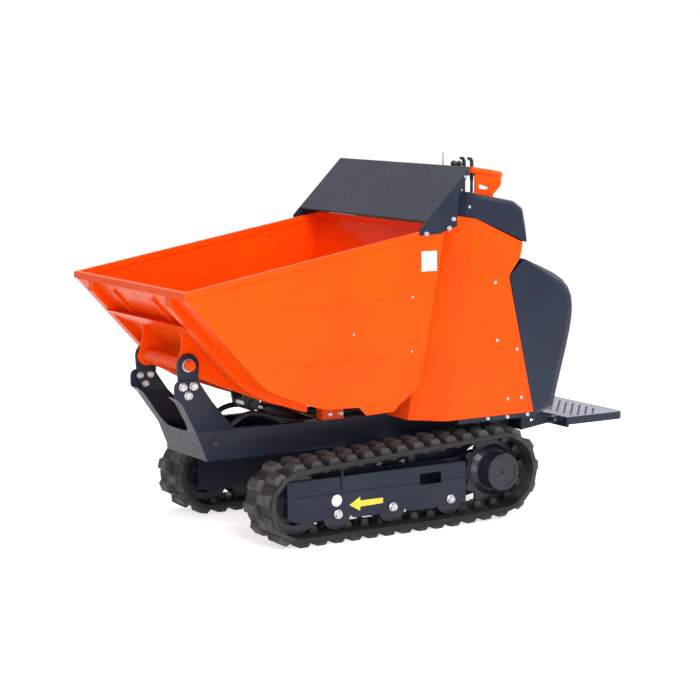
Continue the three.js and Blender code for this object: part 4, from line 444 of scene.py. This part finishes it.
class Head(NamedTuple):
    """A hex head or nut: the width over its flats, its height and its washer."""

    flats: float
    height: float
    washer: float
    washer_thick: float


def frame_of(axis):
    """The unit axis and two directions square to it, the first as level as it can be."""
    axis = Vector(axis).normalized()
    upright = abs(axis.z) >= 0.9
    side = Vector((1, 0, 0)) if upright else Vector((0, 0, 1))
    first = side.cross(axis).normalized()
    return axis, first, axis.cross(first)


def circle(place, axis, height, radius, sides, turn=0.0):
    """A ring of places round an axis; the radius may be a function of the angle."""
    axis, first, second = frame_of(axis)
    ring = []
    for index in range(sides):
        angle = 2 * math.pi * index / sides
        reach = radius(angle) if callable(radius) else radius
        out = first * math.cos(angle + turn) + second * math.sin(angle + turn)
        ring.append(place + (axis * height + out * reach) * MM)
    return ring


class Piece:
    """One mesh piece, gathered from small turned and folded forms."""

    def __init__(self, name):
        self.name = name
        self.mesh = bmesh.new()

    def rings(self, rings, closed_ends=True):
        """Skins a list of rings of places that have the same count."""
        rows = [[self.mesh.verts.new(place) for place in ring] for ring in rings]
        count = len(rows[0])
        for low, high in zip(rows, rows[1:]):
            for index in range(count):
                after = (index + 1) % count
                self.mesh.faces.new((low[index], low[after], high[after], high[index]))
        if closed_ends:
            self.mesh.faces.new(reversed(rows[0]))
            self.mesh.faces.new(rows[-1])

    def extrusion(self, section, starts):
        """A section of (y, z) run straight between places along X, given as (x, side)."""
        self.rings([[at(x, side * y, z) for y, z in section] for x, side in starts])

    def turned(self, place, axis, profile, sides=ROUND_SIDES):
        """A turned form: profile rows are a height along the axis and a radius."""
        self.rings([circle(place, axis, height, radius, sides) for height, radius in profile])

    def washer(self, place, axis, inner, outer, thick, sides=36):
        """A flat ring with a chamfered edge."""
        chamfer = thick * CHAMFER_SHARE
        profile = [
            (0, inner),
            (0, outer),
            (thick - chamfer, outer),
            (thick, outer - chamfer),
            (thick, inner),
            (0, inner),
        ]
        rows = [circle(place, axis, height, radius, sides) for height, radius in profile]
        self.rings(rows, closed_ends=False)

    def hex_head(self, place, axis, flats, height, turn=0.0, sides=ROUND_SIDES):
        """A six sided head with its corners turned down on top."""
        apothem = flats / 2
        crown = apothem * CROWN_SHARE

        def hexagon(angle):
            local = (angle + math.pi / 6) % (math.pi / 3) - math.pi / 6
            return apothem / math.cos(local)

        foot = circle(place, axis, 0, hexagon, sides, turn)
        top = circle(place, axis, height, lambda a: min(hexagon(a), crown), sides, turn)
        shoulder = circle(place, axis, height, hexagon, sides, turn)
        down = Vector(axis).normalized() * MM
        for index, corner in enumerate(shoulder):
            reach = hexagon(2 * math.pi * index / sides)
            shoulder[index] = corner - down * max(0.0, reach - crown) * CORNER_SLOPE
        self.rings([foot, shoulder, top])

    def seat(self, place, axis, head, turn):
        """A washer with a hex head on it; returns the middle of the head's top."""
        radius, thick = head.washer, head.washer_thick
        chamfer = thick * CHAMFER_SHARE
        edge_height = thick * 0.7
        self.turned(
            place,
            axis,
            [(-EMBED, radius), (edge_height, radius), (thick, radius - chamfer), (thick, 1)],
        )
        up = Vector(axis).normalized() * MM
        seat = place + up * (thick - SINK)
        self.hex_head(seat, axis, head.flats, head.height, turn)
        return seat + up * head.height

    def bolt(self, place, axis, head, turn=0.0):
        """A bolt's head on its washer, with the dished centre of its top."""
        top = self.seat(place, axis, head, turn)
        profile = [(height, head.flats * share) for height, share in DISH]
        self.turned(top, axis, [*profile, DISH_CENTRE], sides=16)

    def bolt_row(self, places, y, side, head, turn=0.0, step=0.5):
        """Bolts at places of (x, z) on a face at y, each turned a step from the last."""
        for index, (x, z) in enumerate(places):
            self.bolt(at(x, side * y, z), (0, side, 0), head, turn + index * step)

    def nut(self, place, axis, head, stud, turn=0.0):
        """A nut on its washer with the end of its stud standing out."""
        top = self.seat(place, axis, head, turn)
        rod = head.flats * ROD_SHARE
        profile = [(-0.4, rod), (stud - 1, rod), (stud, rod - 1), (stud, 0.4)]
        self.turned(top, axis, profile, sides=16)

    def button(self, place, axis, radius, height):
        """A round head with a socket in its middle."""
        profile = [(height * tall, radius * wide) for tall, wide in BUTTON]
        socket_floor = (height * BUTTON[-1][0], 0.3)
        self.turned(place, axis, [(-EMBED, radius), *profile, socket_floor], sides=18)

    def bead(self, places, radius, pitch, closed=False):
        """A weld bead along a run of places, its ripples a pitch apart."""
        run = [Vector(place) for place in places]
        if closed:
            run.append(run[0].copy())
        samples = []
        for start, end in zip(run, run[1:]):
            length = (end - start).length / MM
            steps = max(1, round(length / (pitch / 2)))
            samples += [start.lerp(end, step / steps) for step in range(steps)]
        if not closed:
            samples.append(run[-1])
        last = len(samples) - 1
        rings = []
        for index, place in enumerate(samples):
            if closed:
                before, after = samples[index - 1], samples[(index + 1) % (last + 1)]
            else:
                before, after = samples[max(0, index - 1)], samples[min(last, index + 1)]
            swell = radius * (1.0 if index % 2 else RIPPLE)
            if not closed and index in (0, last):
                swell = radius * BEAD_END
            rings.append(circle(place, after - before, 0, swell, BEAD_SIDES))
        if closed:
            rings.append([corner.copy() for corner in rings[0]])
        self.rings(rings, closed_ends=not closed)

    def sheet(self, outline, push):
        """A flat outline of places given a thickness by a push."""
        push = Vector(push) * MM
        self.rings([outline, [place + push for place in outline]])

    def done(self, material, body, sharp=SHARP_ANGLE):
        """Makes the Blender object, which rides on a body."""
        bmesh.ops.recalc_face_normals(self.mesh, faces=self.mesh.faces)
        for edge in self.mesh.edges:
            if len(edge.link_faces) == 2:
                edge.smooth = edge.calc_face_angle(0.0) < sharp
        for face in self.mesh.faces:
            face.smooth = True
        data = bpy.data.meshes.new(self.name)
        self.mesh.to_mesh(data)
        self.mesh.free()
        data.materials.append(MATERIALS[material])
        piece = bpy.data.objects.new(self.name, data)
        bpy.context.collection.objects.link(piece)
        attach(piece, body)
        return piece


# Fasteners of the chassis

ARM_FACE = 176
EAR_BACK = inner_face("pivot_ear_left")
EAR_BOLTS = ((-341, 571), (-299, 571), (-320, 539))
EAR_BOLT = Head(flats=24, height=10, washer=15.5, washer_thick=3)
EAR_NUT = Head(flats=22, height=5.5, washer=13, washer_thick=1.6)
EAR_STUD = 1.6

POST_FACE = 258.3
POST_BOLTS = ((423.5, 232), (523, 232), (423.5, 208), (523, 208))
POST_BOLT = Head(flats=15, height=7, washer=9.5, washer_thick=2)

RAIL_INSET = 0.2
RAIL_GAP = 0.1
RAIL_FACE = outer_face("deck_plate") - RAIL_INSET
RAIL_TOP = extent("deck_plate")[0].z - RAIL_GAP
RAIL_BOTTOM = 373
RAIL_THICK = 4
RAIL_FLANGE = 26
RAIL_ENDS = (690, 1050)
RAIL_BOLTS = ((823, 384), (913, 382), (1007, 384))
RAIL_BOLT = Head(flats=12, height=4, washer=7.5, washer_thick=1.4)

FRAME_FACE = outer_face("track_frame_left")
ROLLER_AXLES = ((169, 97), (404, 97), (659, 97))
ROLLER_BOLT = Head(flats=24, height=9, washer=17, washer_thick=3)

COWL_FACE = outer_face("cowl_left")
COWL_SCREWS = ((850, 891), (861, 675), (953, 636), (914, 451), (976, 451))
COWL_WASHER = ((-0.2, 6.6), (0.6, 6.6), (0.9, 6), (0.9, 2))
COWL_SCREW_LIFT = 0.8
COWL_SCREW = (4.8, 2.8)
HOOD_SCREW_PLACE = (742, 1172)
HOOD_SCREW = (6, 3.4)


def chassis_fasteners():
    bolts = Piece("frame_bolts")
    for side, _ in BOTH:
        bolts.bolt_row(EAR_BOLTS, ARM_FACE, side, EAR_BOLT, turn=0.35, step=0.8)
        for index, (x, z) in enumerate(EAR_BOLTS):
            back = at(x, side * EAR_BACK, z)
            bolts.nut(back, (0, -side, 0), EAR_NUT, EAR_STUD, index * 0.5)
        bolts.bolt_row(POST_BOLTS, POST_FACE, side, POST_BOLT, step=0.4)
        bolts.bolt_row(RAIL_BOLTS, RAIL_FACE, side, RAIL_BOLT, step=0.6)
    bolts.done("zinc_steel", "chassis")


def roller_bolts():
    bolts = Piece("roller_axle_bolts")
    for side, _ in BOTH:
        bolts.bolt_row(ROLLER_AXLES, FRAME_FACE, side, ROLLER_BOLT, turn=0.2, step=0.6)
    bolts.done("zinc_steel", "chassis")


def panel_screws():
    screws = Piece("panel_screws")
    for side, _ in BOTH:
        out = (0, side, 0)
        for x, z in COWL_SCREWS:
            screws.turned(at(x, side * COWL_FACE, z), out, COWL_WASHER, sides=20)
            screws.button(at(x, side * (COWL_FACE + COWL_SCREW_LIFT), z), out, *COWL_SCREW)
        place, normal = touch("console_hood", *HOOD_SCREW_PLACE, side)
        screws.button(place, normal, *HOOD_SCREW)
    screws.done("zinc_steel", "chassis")


# Small parts of the chassis

ARM_SEAM = ((-363, 166.5, 534), (-337, 166.5, 510), (-269, 138.5, 397), (-225, 138.5, 292))
POST_SEAM = ((412, 248, 288.5), (545, 248, 288.5))
SEAM = {"radius": 2.6, "pitch": 5}

ARROW = (
    (216.5, 125.5),
    (262.4, 151),
    (262.4, 137),
    (360.2, 136.5),
    (360.2, 117),
    (262.4, 114.5),
    (262.4, 99.5),
)
LABEL_GAP = 0.2
LABEL_THICK = 0.4
DISC_PLACE = (163.9, 147.5)
DISC_RADIUS = 21.5

STAY_ENDS = (184, 194)
STAY_SECTION = (
    (380.2, 184),
    (384.2, 184),
    (384.0, 200),
    (380.4, 232),
    (373.5, 258),
    (369.6, 257),
    (376, 232),
    (379.8, 200),
)

PIVOT_PLACE = side_centre("pivot_pin_left")
PIVOT_RADIUS = round_radius("pivot_pin_left")
PIVOT_RING_GAP = 0.4
PIVOT_RING_FACE = outer_face("pivot_ear_left") + PIVOT_RING_GAP
PIVOT_RING_WIDTH = 6.1
PIVOT_RING_THICK = 4
NOSE_PLACE = (-200, 355)
NOSE_FACE = 152
NOSE_CAP = Head(flats=22, height=7, washer=17, washer_thick=4)

GUARD_PLATE_FACE = 249.8
GUARD_PLATE_THICK = 4
GUARD_PLATE_FRONT = ((622, 304), (590, 270), (590, 205))
GUARD_PLATE_REAR = ((950, 290), (935, 304))
MOTOR_PLACE = side_centre("drive_motor_left")
MOTOR_GAP = 3
MOTOR_CLEAR = round_radius("drive_motor_left") + MOTOR_GAP
MOTOR_ARC_DEGREES = range(160, 20, -10)

CREASE_Z = 174
CREASE_RUNS = ((-20, 520), (620, 722))
CREASE_SECTION = ((0, -3.2), (1.5, -0.6), (1.1, 0.6), (-0.2, 2.6), (-1.5, 0))


def frame_welds():
    """The seams inside the front arms and along the track posts."""
    welds = Piece("frame_welds")
    for side, _ in BOTH:
        for seam in (ARM_SEAM, POST_SEAM):
            welds.bead([at(x, side * y, z) for x, y, z in seam], **SEAM)
    welds.done("dark_paint", "chassis", BEAD_SHARP_ANGLE)


def track_labels():
    """A plain direction arrow and a plain round label on each track frame."""
    for side, hand in BOTH:
        face = side * (FRAME_FACE + LABEL_GAP)
        arrow = Piece(f"direction_arrow_{hand}")
        arrow.sheet([at(x, face, z) for x, z in ARROW], (0, side * LABEL_THICK, 0))
        arrow.done("label_yellow", "chassis")
        x, z = DISC_PLACE
        profile = [(0, DISC_RADIUS), (LABEL_THICK, DISC_RADIUS), (LABEL_THICK, 2)]
        disc = Piece(f"round_label_{hand}")
        disc.turned(at(x, face, z), (0, side, 0), profile, sides=40)
        disc.done("label_white", "chassis")


def track_stays():
    """The bent strap that stands on each track frame under the upper belt run."""
    stays = Piece("track_stays")
    for side, _ in BOTH:
        stays.extrusion(STAY_SECTION, [(x, side) for x in STAY_ENDS])
    stays.done("dark_paint", "chassis")


def pivot_rings():
    """The boss ring round each pivot pin, and the capped boss at each nose."""
    rings = Piece("pivot_rings")
    caps = Piece("nose_caps")
    inner = PIVOT_RADIUS + PIVOT_RING_GAP
    x, z = PIVOT_PLACE
    for side, _ in BOTH:
        place = at(x, side * PIVOT_RING_FACE, z)
        rings.washer(place, (0, side, 0), inner, inner + PIVOT_RING_WIDTH, PIVOT_RING_THICK)
        caps.bolt_row([NOSE_PLACE], NOSE_FACE, side, NOSE_CAP, turn=0.3)
    rings.done("zinc_steel", "chassis")
    caps.done("cast_metal", "chassis")


def deck_rails():
    """The folded rail under each side of the deck, below the cowl's lower edge."""
    inner_face = RAIL_FACE - RAIL_THICK
    flange_edge = RAIL_FACE - RAIL_FLANGE
    flange_bottom = 393
    round_off = 3
    section = (
        (RAIL_FACE, RAIL_TOP),
        (RAIL_FACE, RAIL_BOTTOM + round_off),
        (RAIL_FACE - 1, RAIL_BOTTOM),
        (RAIL_FACE - round_off, RAIL_BOTTOM),
        (inner_face, flange_bottom),
        (flange_edge, flange_bottom),
        (flange_edge, RAIL_TOP),
    )
    rails = Piece("deck_rails")
    for side, _ in BOTH:
        rails.extrusion(section, [(x, side) for x in RAIL_ENDS])
    rails.done("dark_paint", "chassis")


def hose_guards():
    """The plate on the inner side of each track frame, cut out round the drive motor."""
    x, z = MOTOR_PLACE
    arc = []
    for degrees in MOTOR_ARC_DEGREES:
        turn = math.radians(degrees)
        arc.append((x + MOTOR_CLEAR * math.cos(turn), z + MOTOR_CLEAR * math.sin(turn)))
    outline = [GUARD_PLATE_FRONT[-1], *arc, *GUARD_PLATE_REAR, *GUARD_PLATE_FRONT[:-1]]
    guards = Piece("hose_guards")
    for side, _ in BOTH:
        places = [at(x, side * GUARD_PLATE_FACE, z) for x, z in outline]
        guards.sheet(places, (0, -side * GUARD_PLATE_THICK, 0))
    guards.done("dark_paint", "chassis")


def frame_creases():
    """The pressed line along the fold of each track frame's outer plate."""
    section = [(FRAME_FACE + out, CREASE_Z + up) for out, up in CREASE_SECTION]
    creases = Piece("frame_creases")
    for side, _ in BOTH:
        for ends in CREASE_RUNS:
            creases.extrusion(section, [(x, side) for x in ends])
    creases.done("dark_paint", "chassis")


# Details of the skip and the footplate

GUARD_FACE = outer_face("spill_guard")
GUARD_BOLTS = ((501, 1089), (600, 1105), (619, 1137))
GUARD_BOLT = Head(flats=13, height=5, washer=8.5, washer_thick=1.5)
GUARD_TIP = (669, 1287)
GUARD_TIP_BOLT = Head(flats=8, height=3.5, washer=5.6, washer_thick=1.2)
FOOT_FACE = 157
FOOT_BOLTS = ((272, 417), (318, 417))
FOOT_BOLT = Head(flats=14, height=6, washer=9, washer_thick=1.6)

PIVOT_WELD = {"radius": 2.8, "pitch": 6, "closed": True}
PIVOT_WELD_RING = 27
PIVOT_WELD_FACE = 146
PIVOT_WELD_STEPS = 28

RIB_HEIGHTS = (846, 646)
RIB_ENDS = ((-112, 0.5), (434, 15.5))
RIB_SECTION = ((-0.3, -5), (1.6, -2), (1.9, 0), (1.6, 2), (-0.3, 5))
RIB_RIVETS = ((450, 864), (448, 669), (201, 746))
RIB_RIVET = (4.8, 2.4)

SKIP_LABEL_X = (487, 553)
SKIP_LABEL_Z = (954, 1026)
SKIP_LABEL_GAP = 0.1
SKIP_LABEL_THICK = 0.5

PAN_INSET = 2
PAN_GAP = 0.1
PAN_DEPTH = 2.5


def skip_fasteners():
    bolts = Piece("skip_bolts")
    for side, _ in BOTH:
        bolts.bolt_row(GUARD_BOLTS, GUARD_FACE, side, GUARD_BOLT, step=0.5)
        bolts.bolt_row([GUARD_TIP], GUARD_FACE, side, GUARD_TIP_BOLT, turn=0.2)
        bolts.bolt_row(FOOT_BOLTS, FOOT_FACE, side, FOOT_BOLT, step=0.7)
        for x, z in RIB_RIVETS:
            place, normal = touch("skip_tub", x, z, side)
            bolts.button(place, normal, *RIB_RIVET)
    bolts.done("zinc_steel", "skip")


def skip_welds():
    """The ring of weld round each pivot bush."""
    welds = Piece("skip_welds")
    x, z = PIVOT_PLACE
    for side, _ in BOTH:
        middle = at(x, side * PIVOT_WELD_FACE, z)
        ring = []
        for step in range(PIVOT_WELD_STEPS):
            angle = 2 * math.pi * step / PIVOT_WELD_STEPS
            reach = Vector((math.cos(angle), 0, math.sin(angle)))
            ring.append(middle + reach * PIVOT_WELD_RING * MM)
        welds.bead(ring, **PIVOT_WELD)
    welds.done("orange_paint", "skip", BEAD_SHARP_ANGLE)


def rib_crests():
    """The rounded crest along each pressed rib on the skip's sides."""
    crests = Piece("rib_crests")
    for side, _ in BOTH:
        for z in RIB_HEIGHTS:
            ends = []
            for x, lift in RIB_ENDS:
                place, _ = touch("skip_tub", x, z + lift, side)
                offsets = [Vector((0, side * out, up)) * MM for out, up in RIB_SECTION]
                ends.append([place + offset for offset in offsets])
            crests.rings(ends)
    crests.done("orange_paint", "skip", BEAD_SHARP_ANGLE)


def skip_labels():
    """A plain white label on each side of the skip."""
    (front, rear), (low, high) = SKIP_LABEL_X, SKIP_LABEL_Z
    corners = ((front, low), (rear, low), (rear, high), (front, high))
    for side, hand in BOTH:
        gap = Vector((0, side * SKIP_LABEL_GAP * MM, 0))
        label = Piece(f"skip_label_{hand}")
        places = [touch("skip_tub", x, z, side)[0] + gap for x, z in corners]
        label.sheet(places, (0, side * SKIP_LABEL_THICK, 0))
        label.done("label_white", "skip")


def footplate_backing():
    """A dark sheet just under the slotted tread of the footplate, which darkens the view
    through its slots.
    """
    low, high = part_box("footplate_tread")
    inset = PAN_INSET * MM
    front, rear = low[0] + inset, high[0] - inset
    left, right = low[1] + inset, high[1] - inset
    corners = ((front, left), (rear, left), (rear, right), (front, right))
    levels = (low[2] - PAN_DEPTH * MM, low[2] - PAN_GAP * MM)
    pan = Piece("footplate_backing")
    pan.rings([[Vector((x, y, z)) for x, y in corners] for z in levels])
    pan.done("black_plastic", "footplate")


# Pressure hoses of the tipping cylinder; the routes repeat part.mjs

HOSE_ROUTES = {
    "left": [
        [-150, -106, 340], [-144, -106, 372], [-122, -107, 398], [-94, -108, 417],
        [-65, -109, 435], [-30, -109, 441], [5, -108, 436], [50, -107, 423],
        [107, -107, 405], [174, -104, 392], [260, -100, 378], [360, -100, 372],
        [470, -100, 376],
    ],
    "right": [
        [-112, 80, 340], [-108, 80, 368], [-88, 80, 402], [-54, 80, 430],
        [-20, 80, 441], [10, 80, 443], [45, 80, 439], [107, 84, 424],
        [174, 90, 405], [260, 96, 388], [360, 100, 376], [470, 100, 377],
    ],
}
HOSE_RADIUS = 10
HOSE_END_Z = 378
HOSE_STEPS = 6
HOSE_RESOLUTION = 5
FITTING_LENGTH = 26
FITTING_LAP = 1
FITTING_HEX = (24, 12)
FITTING_TURN = 0.2
FITTING_PROFILE = (
    (0, 9),
    (12, 9),
    (12.5, 13.4),
    (15, 14),
    (17, 13.2),
    (19, 14),
    (21, 13.2),
    (23, 14),
    (25, 13.4),
    (26, 10.5),
)


def smooth_run(places):
    """Places along a Catmull-Rom curve through a given route."""
    points = [2 * places[0] - places[1], *places, 2 * places[-1] - places[-2]]
    run = []
    for before, start, end, after in zip(points, points[1:], points[2:], points[3:]):
        slope = end - before
        bend = 2 * before - 5 * start + 4 * end - after
        twist = 3 * start - before - 3 * end + after
        for step in range(HOSE_STEPS):
            t = step / HOSE_STEPS
            run.append(start + 0.5 * (slope * t + bend * t**2 + twist * t**3))
    return [*run, places[-1]]


def hose_fitting(name, place, axis):
    """A crimped sleeve with a hex swivel; it stands on its seat along an axis."""
    fitting = Piece(name)
    fitting.turned(place, axis, FITTING_PROFILE, sides=28)
    fitting.hex_head(place, axis, *FITTING_HEX, FITTING_TURN)
    return fitting.done("zinc_steel", "chassis")


def hose_curve(name, run):
    line = bpy.data.curves.new(name, "CURVE")
    line.dimensions = "3D"
    line.bevel_depth = HOSE_RADIUS * MM
    line.bevel_resolution = HOSE_RESOLUTION
    line.use_fill_caps = True
    spline = line.splines.new("POLY")
    spline.points.add(len(run) - 1)
    for point, place in zip(spline.points, run):
        point.co = (*place, 1)
    spline.use_smooth = True
    line.materials.append(MATERIALS["hose_rubber"])
    hose = bpy.data.objects.new(name, line)
    bpy.context.collection.objects.link(hose)
    return hose


def lift_hoses():
    """The two hoses at their real length, each from its seat on the nose to the bridge."""
    for hand, route in HOSE_ROUTES.items():
        low, high = extent(f"lift_hose_{hand}")
        seat_z, seat_x = low.z, high.x
        (start_x, start_y, _), (_, end_y, _) = route[0], route[-1]
        exit_place = at(start_x, start_y, seat_z + FITTING_LENGTH - FITTING_LAP)
        tail = [
            at(seat_x - 2 * FITTING_LENGTH, end_y, HOSE_END_Z),
            at(seat_x - FITTING_LENGTH + FITTING_LAP, end_y, HOSE_END_Z),
        ]
        run = smooth_run([exit_place, *[at(*place) for place in route], *tail])
        hose = hose_curve(f"pressure_hose_{hand}", run)
        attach(hose, "chassis")
        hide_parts(f"lift_hose_{hand}")
        seat = at(start_x, start_y, seat_z)
        bridge = at(seat_x, end_y, HOSE_END_Z)
        fittings = [
            hose_fitting(f"hose_fitting_{hand}_front", seat, (0, 0, 1)),
            hose_fitting(f"hose_fitting_{hand}_rear", bridge, (-1, 0, 0)),
        ]


def add_details():
    chassis_fasteners()
    roller_bolts()
    panel_screws()
    skip_fasteners()
    frame_welds()
    skip_welds()
    track_labels()
    track_stays()
    pivot_rings()
    deck_rails()
    hose_guards()
    frame_creases()
    rib_crests()
    skip_labels()
    footplate_backing()
    lift_hoses()


# Floor, backdrop, lights and camera, in metres and watts

WORLD_LIGHT = 0.42
BACKDROP_LIGHT = 1.0
FLOOR_LIFT = 0.66
FLOOR_SIZE = 60
FLOOR_GAP = 0.0005


class Lamp(NamedTuple):
    """A rectangular lamp aimed at the machine."""

    name: str
    place: tuple
    aim: tuple
    size: tuple
    power: float


LAMPS = (
    Lamp("key", place=(-1.6, -5.4, 4.2), aim=(0, 0, 0.6), size=(3.0, 3.0), power=270),
    Lamp("top", place=(0.4, 0.6, 5.5), aim=(0, 0, 0.6), size=(4, 4), power=150),
    Lamp("rim", place=(5.0, -1.0, 3.0), aim=(0, 0, 0.7), size=(3, 3), power=90),
    Lamp("strip", place=(-3.3, -4.9, 0.7), aim=(0, 0, 0.7), size=(0.5, 1.2), power=60),
)

CAMERA_PLACE = (-4.0926, -6.3599, 1.666)
CAMERA_YAW = math.radians(-32.24)
CAMERA_PITCH = math.radians(7.90)
CAMERA_ROLL = math.radians(0.05)
CAMERA_LENS = 103.75
CAMERA_SENSOR = 36


def seen_rays(nodes, links):
    """One where a ray comes from the camera or from gloss or glass, else nought."""
    path = nodes.new("ShaderNodeLightPath")
    seen = path.outputs["Is Camera Ray"]
    for kind in ("Is Glossy Ray", "Is Transmission Ray"):
        either = nodes.new("ShaderNodeMath")
        either.operation = "MAXIMUM"
        links.new(seen, either.inputs[0])
        links.new(path.outputs[kind], either.inputs[1])
        seen = either.outputs[0]
    return seen


def floor_white():
    """A matt pale floor that shows white and keeps the object's shadow."""
    finish = Finish("floor_white", roughness=0.9, gloss=0.0)
    finish.shader.inputs["Base Color"].default_value = FLOOR
    nodes, links = finish.nodes, finish.links
    glow = nodes.new("ShaderNodeEmission")
    glow.inputs["Color"].default_value = (FLOOR_LIFT, FLOOR_LIFT, FLOOR_LIFT, 1)
    links.new(seen_rays(nodes, links), glow.inputs["Strength"])
    both = nodes.new("ShaderNodeAddShader")
    links.new(finish.shader.outputs[0], both.inputs[0])
    links.new(glow.outputs[0], both.inputs[1])
    links.new(both.outputs[0], nodes["Material Output"].inputs["Surface"])
    return finish.material


def stage_set():
    low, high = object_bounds()
    middle = (Vector(low) + Vector(high)) / 2
    place = (middle.x, middle.y, -FLOOR_GAP)
    bpy.ops.mesh.primitive_plane_add(size=FLOOR_SIZE, location=place)
    floor = bpy.context.object
    floor.name = "floor"
    floor.data.materials.append(floor_white())


def world_light():
    """A plain light all round, which shows as white."""
    world = bpy.data.worlds.new("studio")
    bpy.context.scene.world = world
    world.use_nodes = True
    nodes, links = world.node_tree.nodes, world.node_tree.links
    background = nodes["Background"]
    background.inputs["Color"].default_value = (1, 1, 1, 1)
    strength = nodes.new("ShaderNodeMapRange")
    strength.inputs["To Min"].default_value = WORLD_LIGHT
    strength.inputs["To Max"].default_value = BACKDROP_LIGHT
    links.new(seen_rays(nodes, links), strength.inputs["Value"])
    links.new(strength.outputs["Result"], background.inputs["Strength"])


def studio_lights():
    for lamp in LAMPS:
        light = bpy.data.lights.new(lamp.name, "AREA")
        light.shape = "RECTANGLE"
        light.size, light.size_y = lamp.size
        light.energy = lamp.power
        holder = bpy.data.objects.new(lamp.name, light)
        bpy.context.collection.objects.link(holder)
        holder.location = lamp.place
        aim = Vector(lamp.aim) - Vector(lamp.place)
        holder.rotation_euler = aim.to_track_quat("-Z", "Y").to_euler()


def camera():
    """The camera that took the photograph, as fitted to the object's edges."""
    lens = bpy.data.cameras.new("camera")
    lens.lens = CAMERA_LENS
    lens.sensor_width = CAMERA_SENSOR
    lens.sensor_fit = "HORIZONTAL"
    holder = bpy.data.objects.new("camera", lens)
    bpy.context.collection.objects.link(holder)
    holder.location = CAMERA_PLACE
    yaw = Matrix.Rotation(CAMERA_YAW, 4, "Z")
    pitch = Matrix.Rotation(math.pi / 2 - CAMERA_PITCH, 4, "X")
    roll = Matrix.Rotation(CAMERA_ROLL, 4, "Z")
    holder.rotation_euler = (yaw @ pitch @ roll).to_euler()
    bpy.context.scene.camera = holder


def colour_management():
    bpy.context.scene.view_settings.view_transform = "Standard"


camera()
dress_nodes()
add_details()
stage_set()
world_light()
studio_lights()
colour_management()
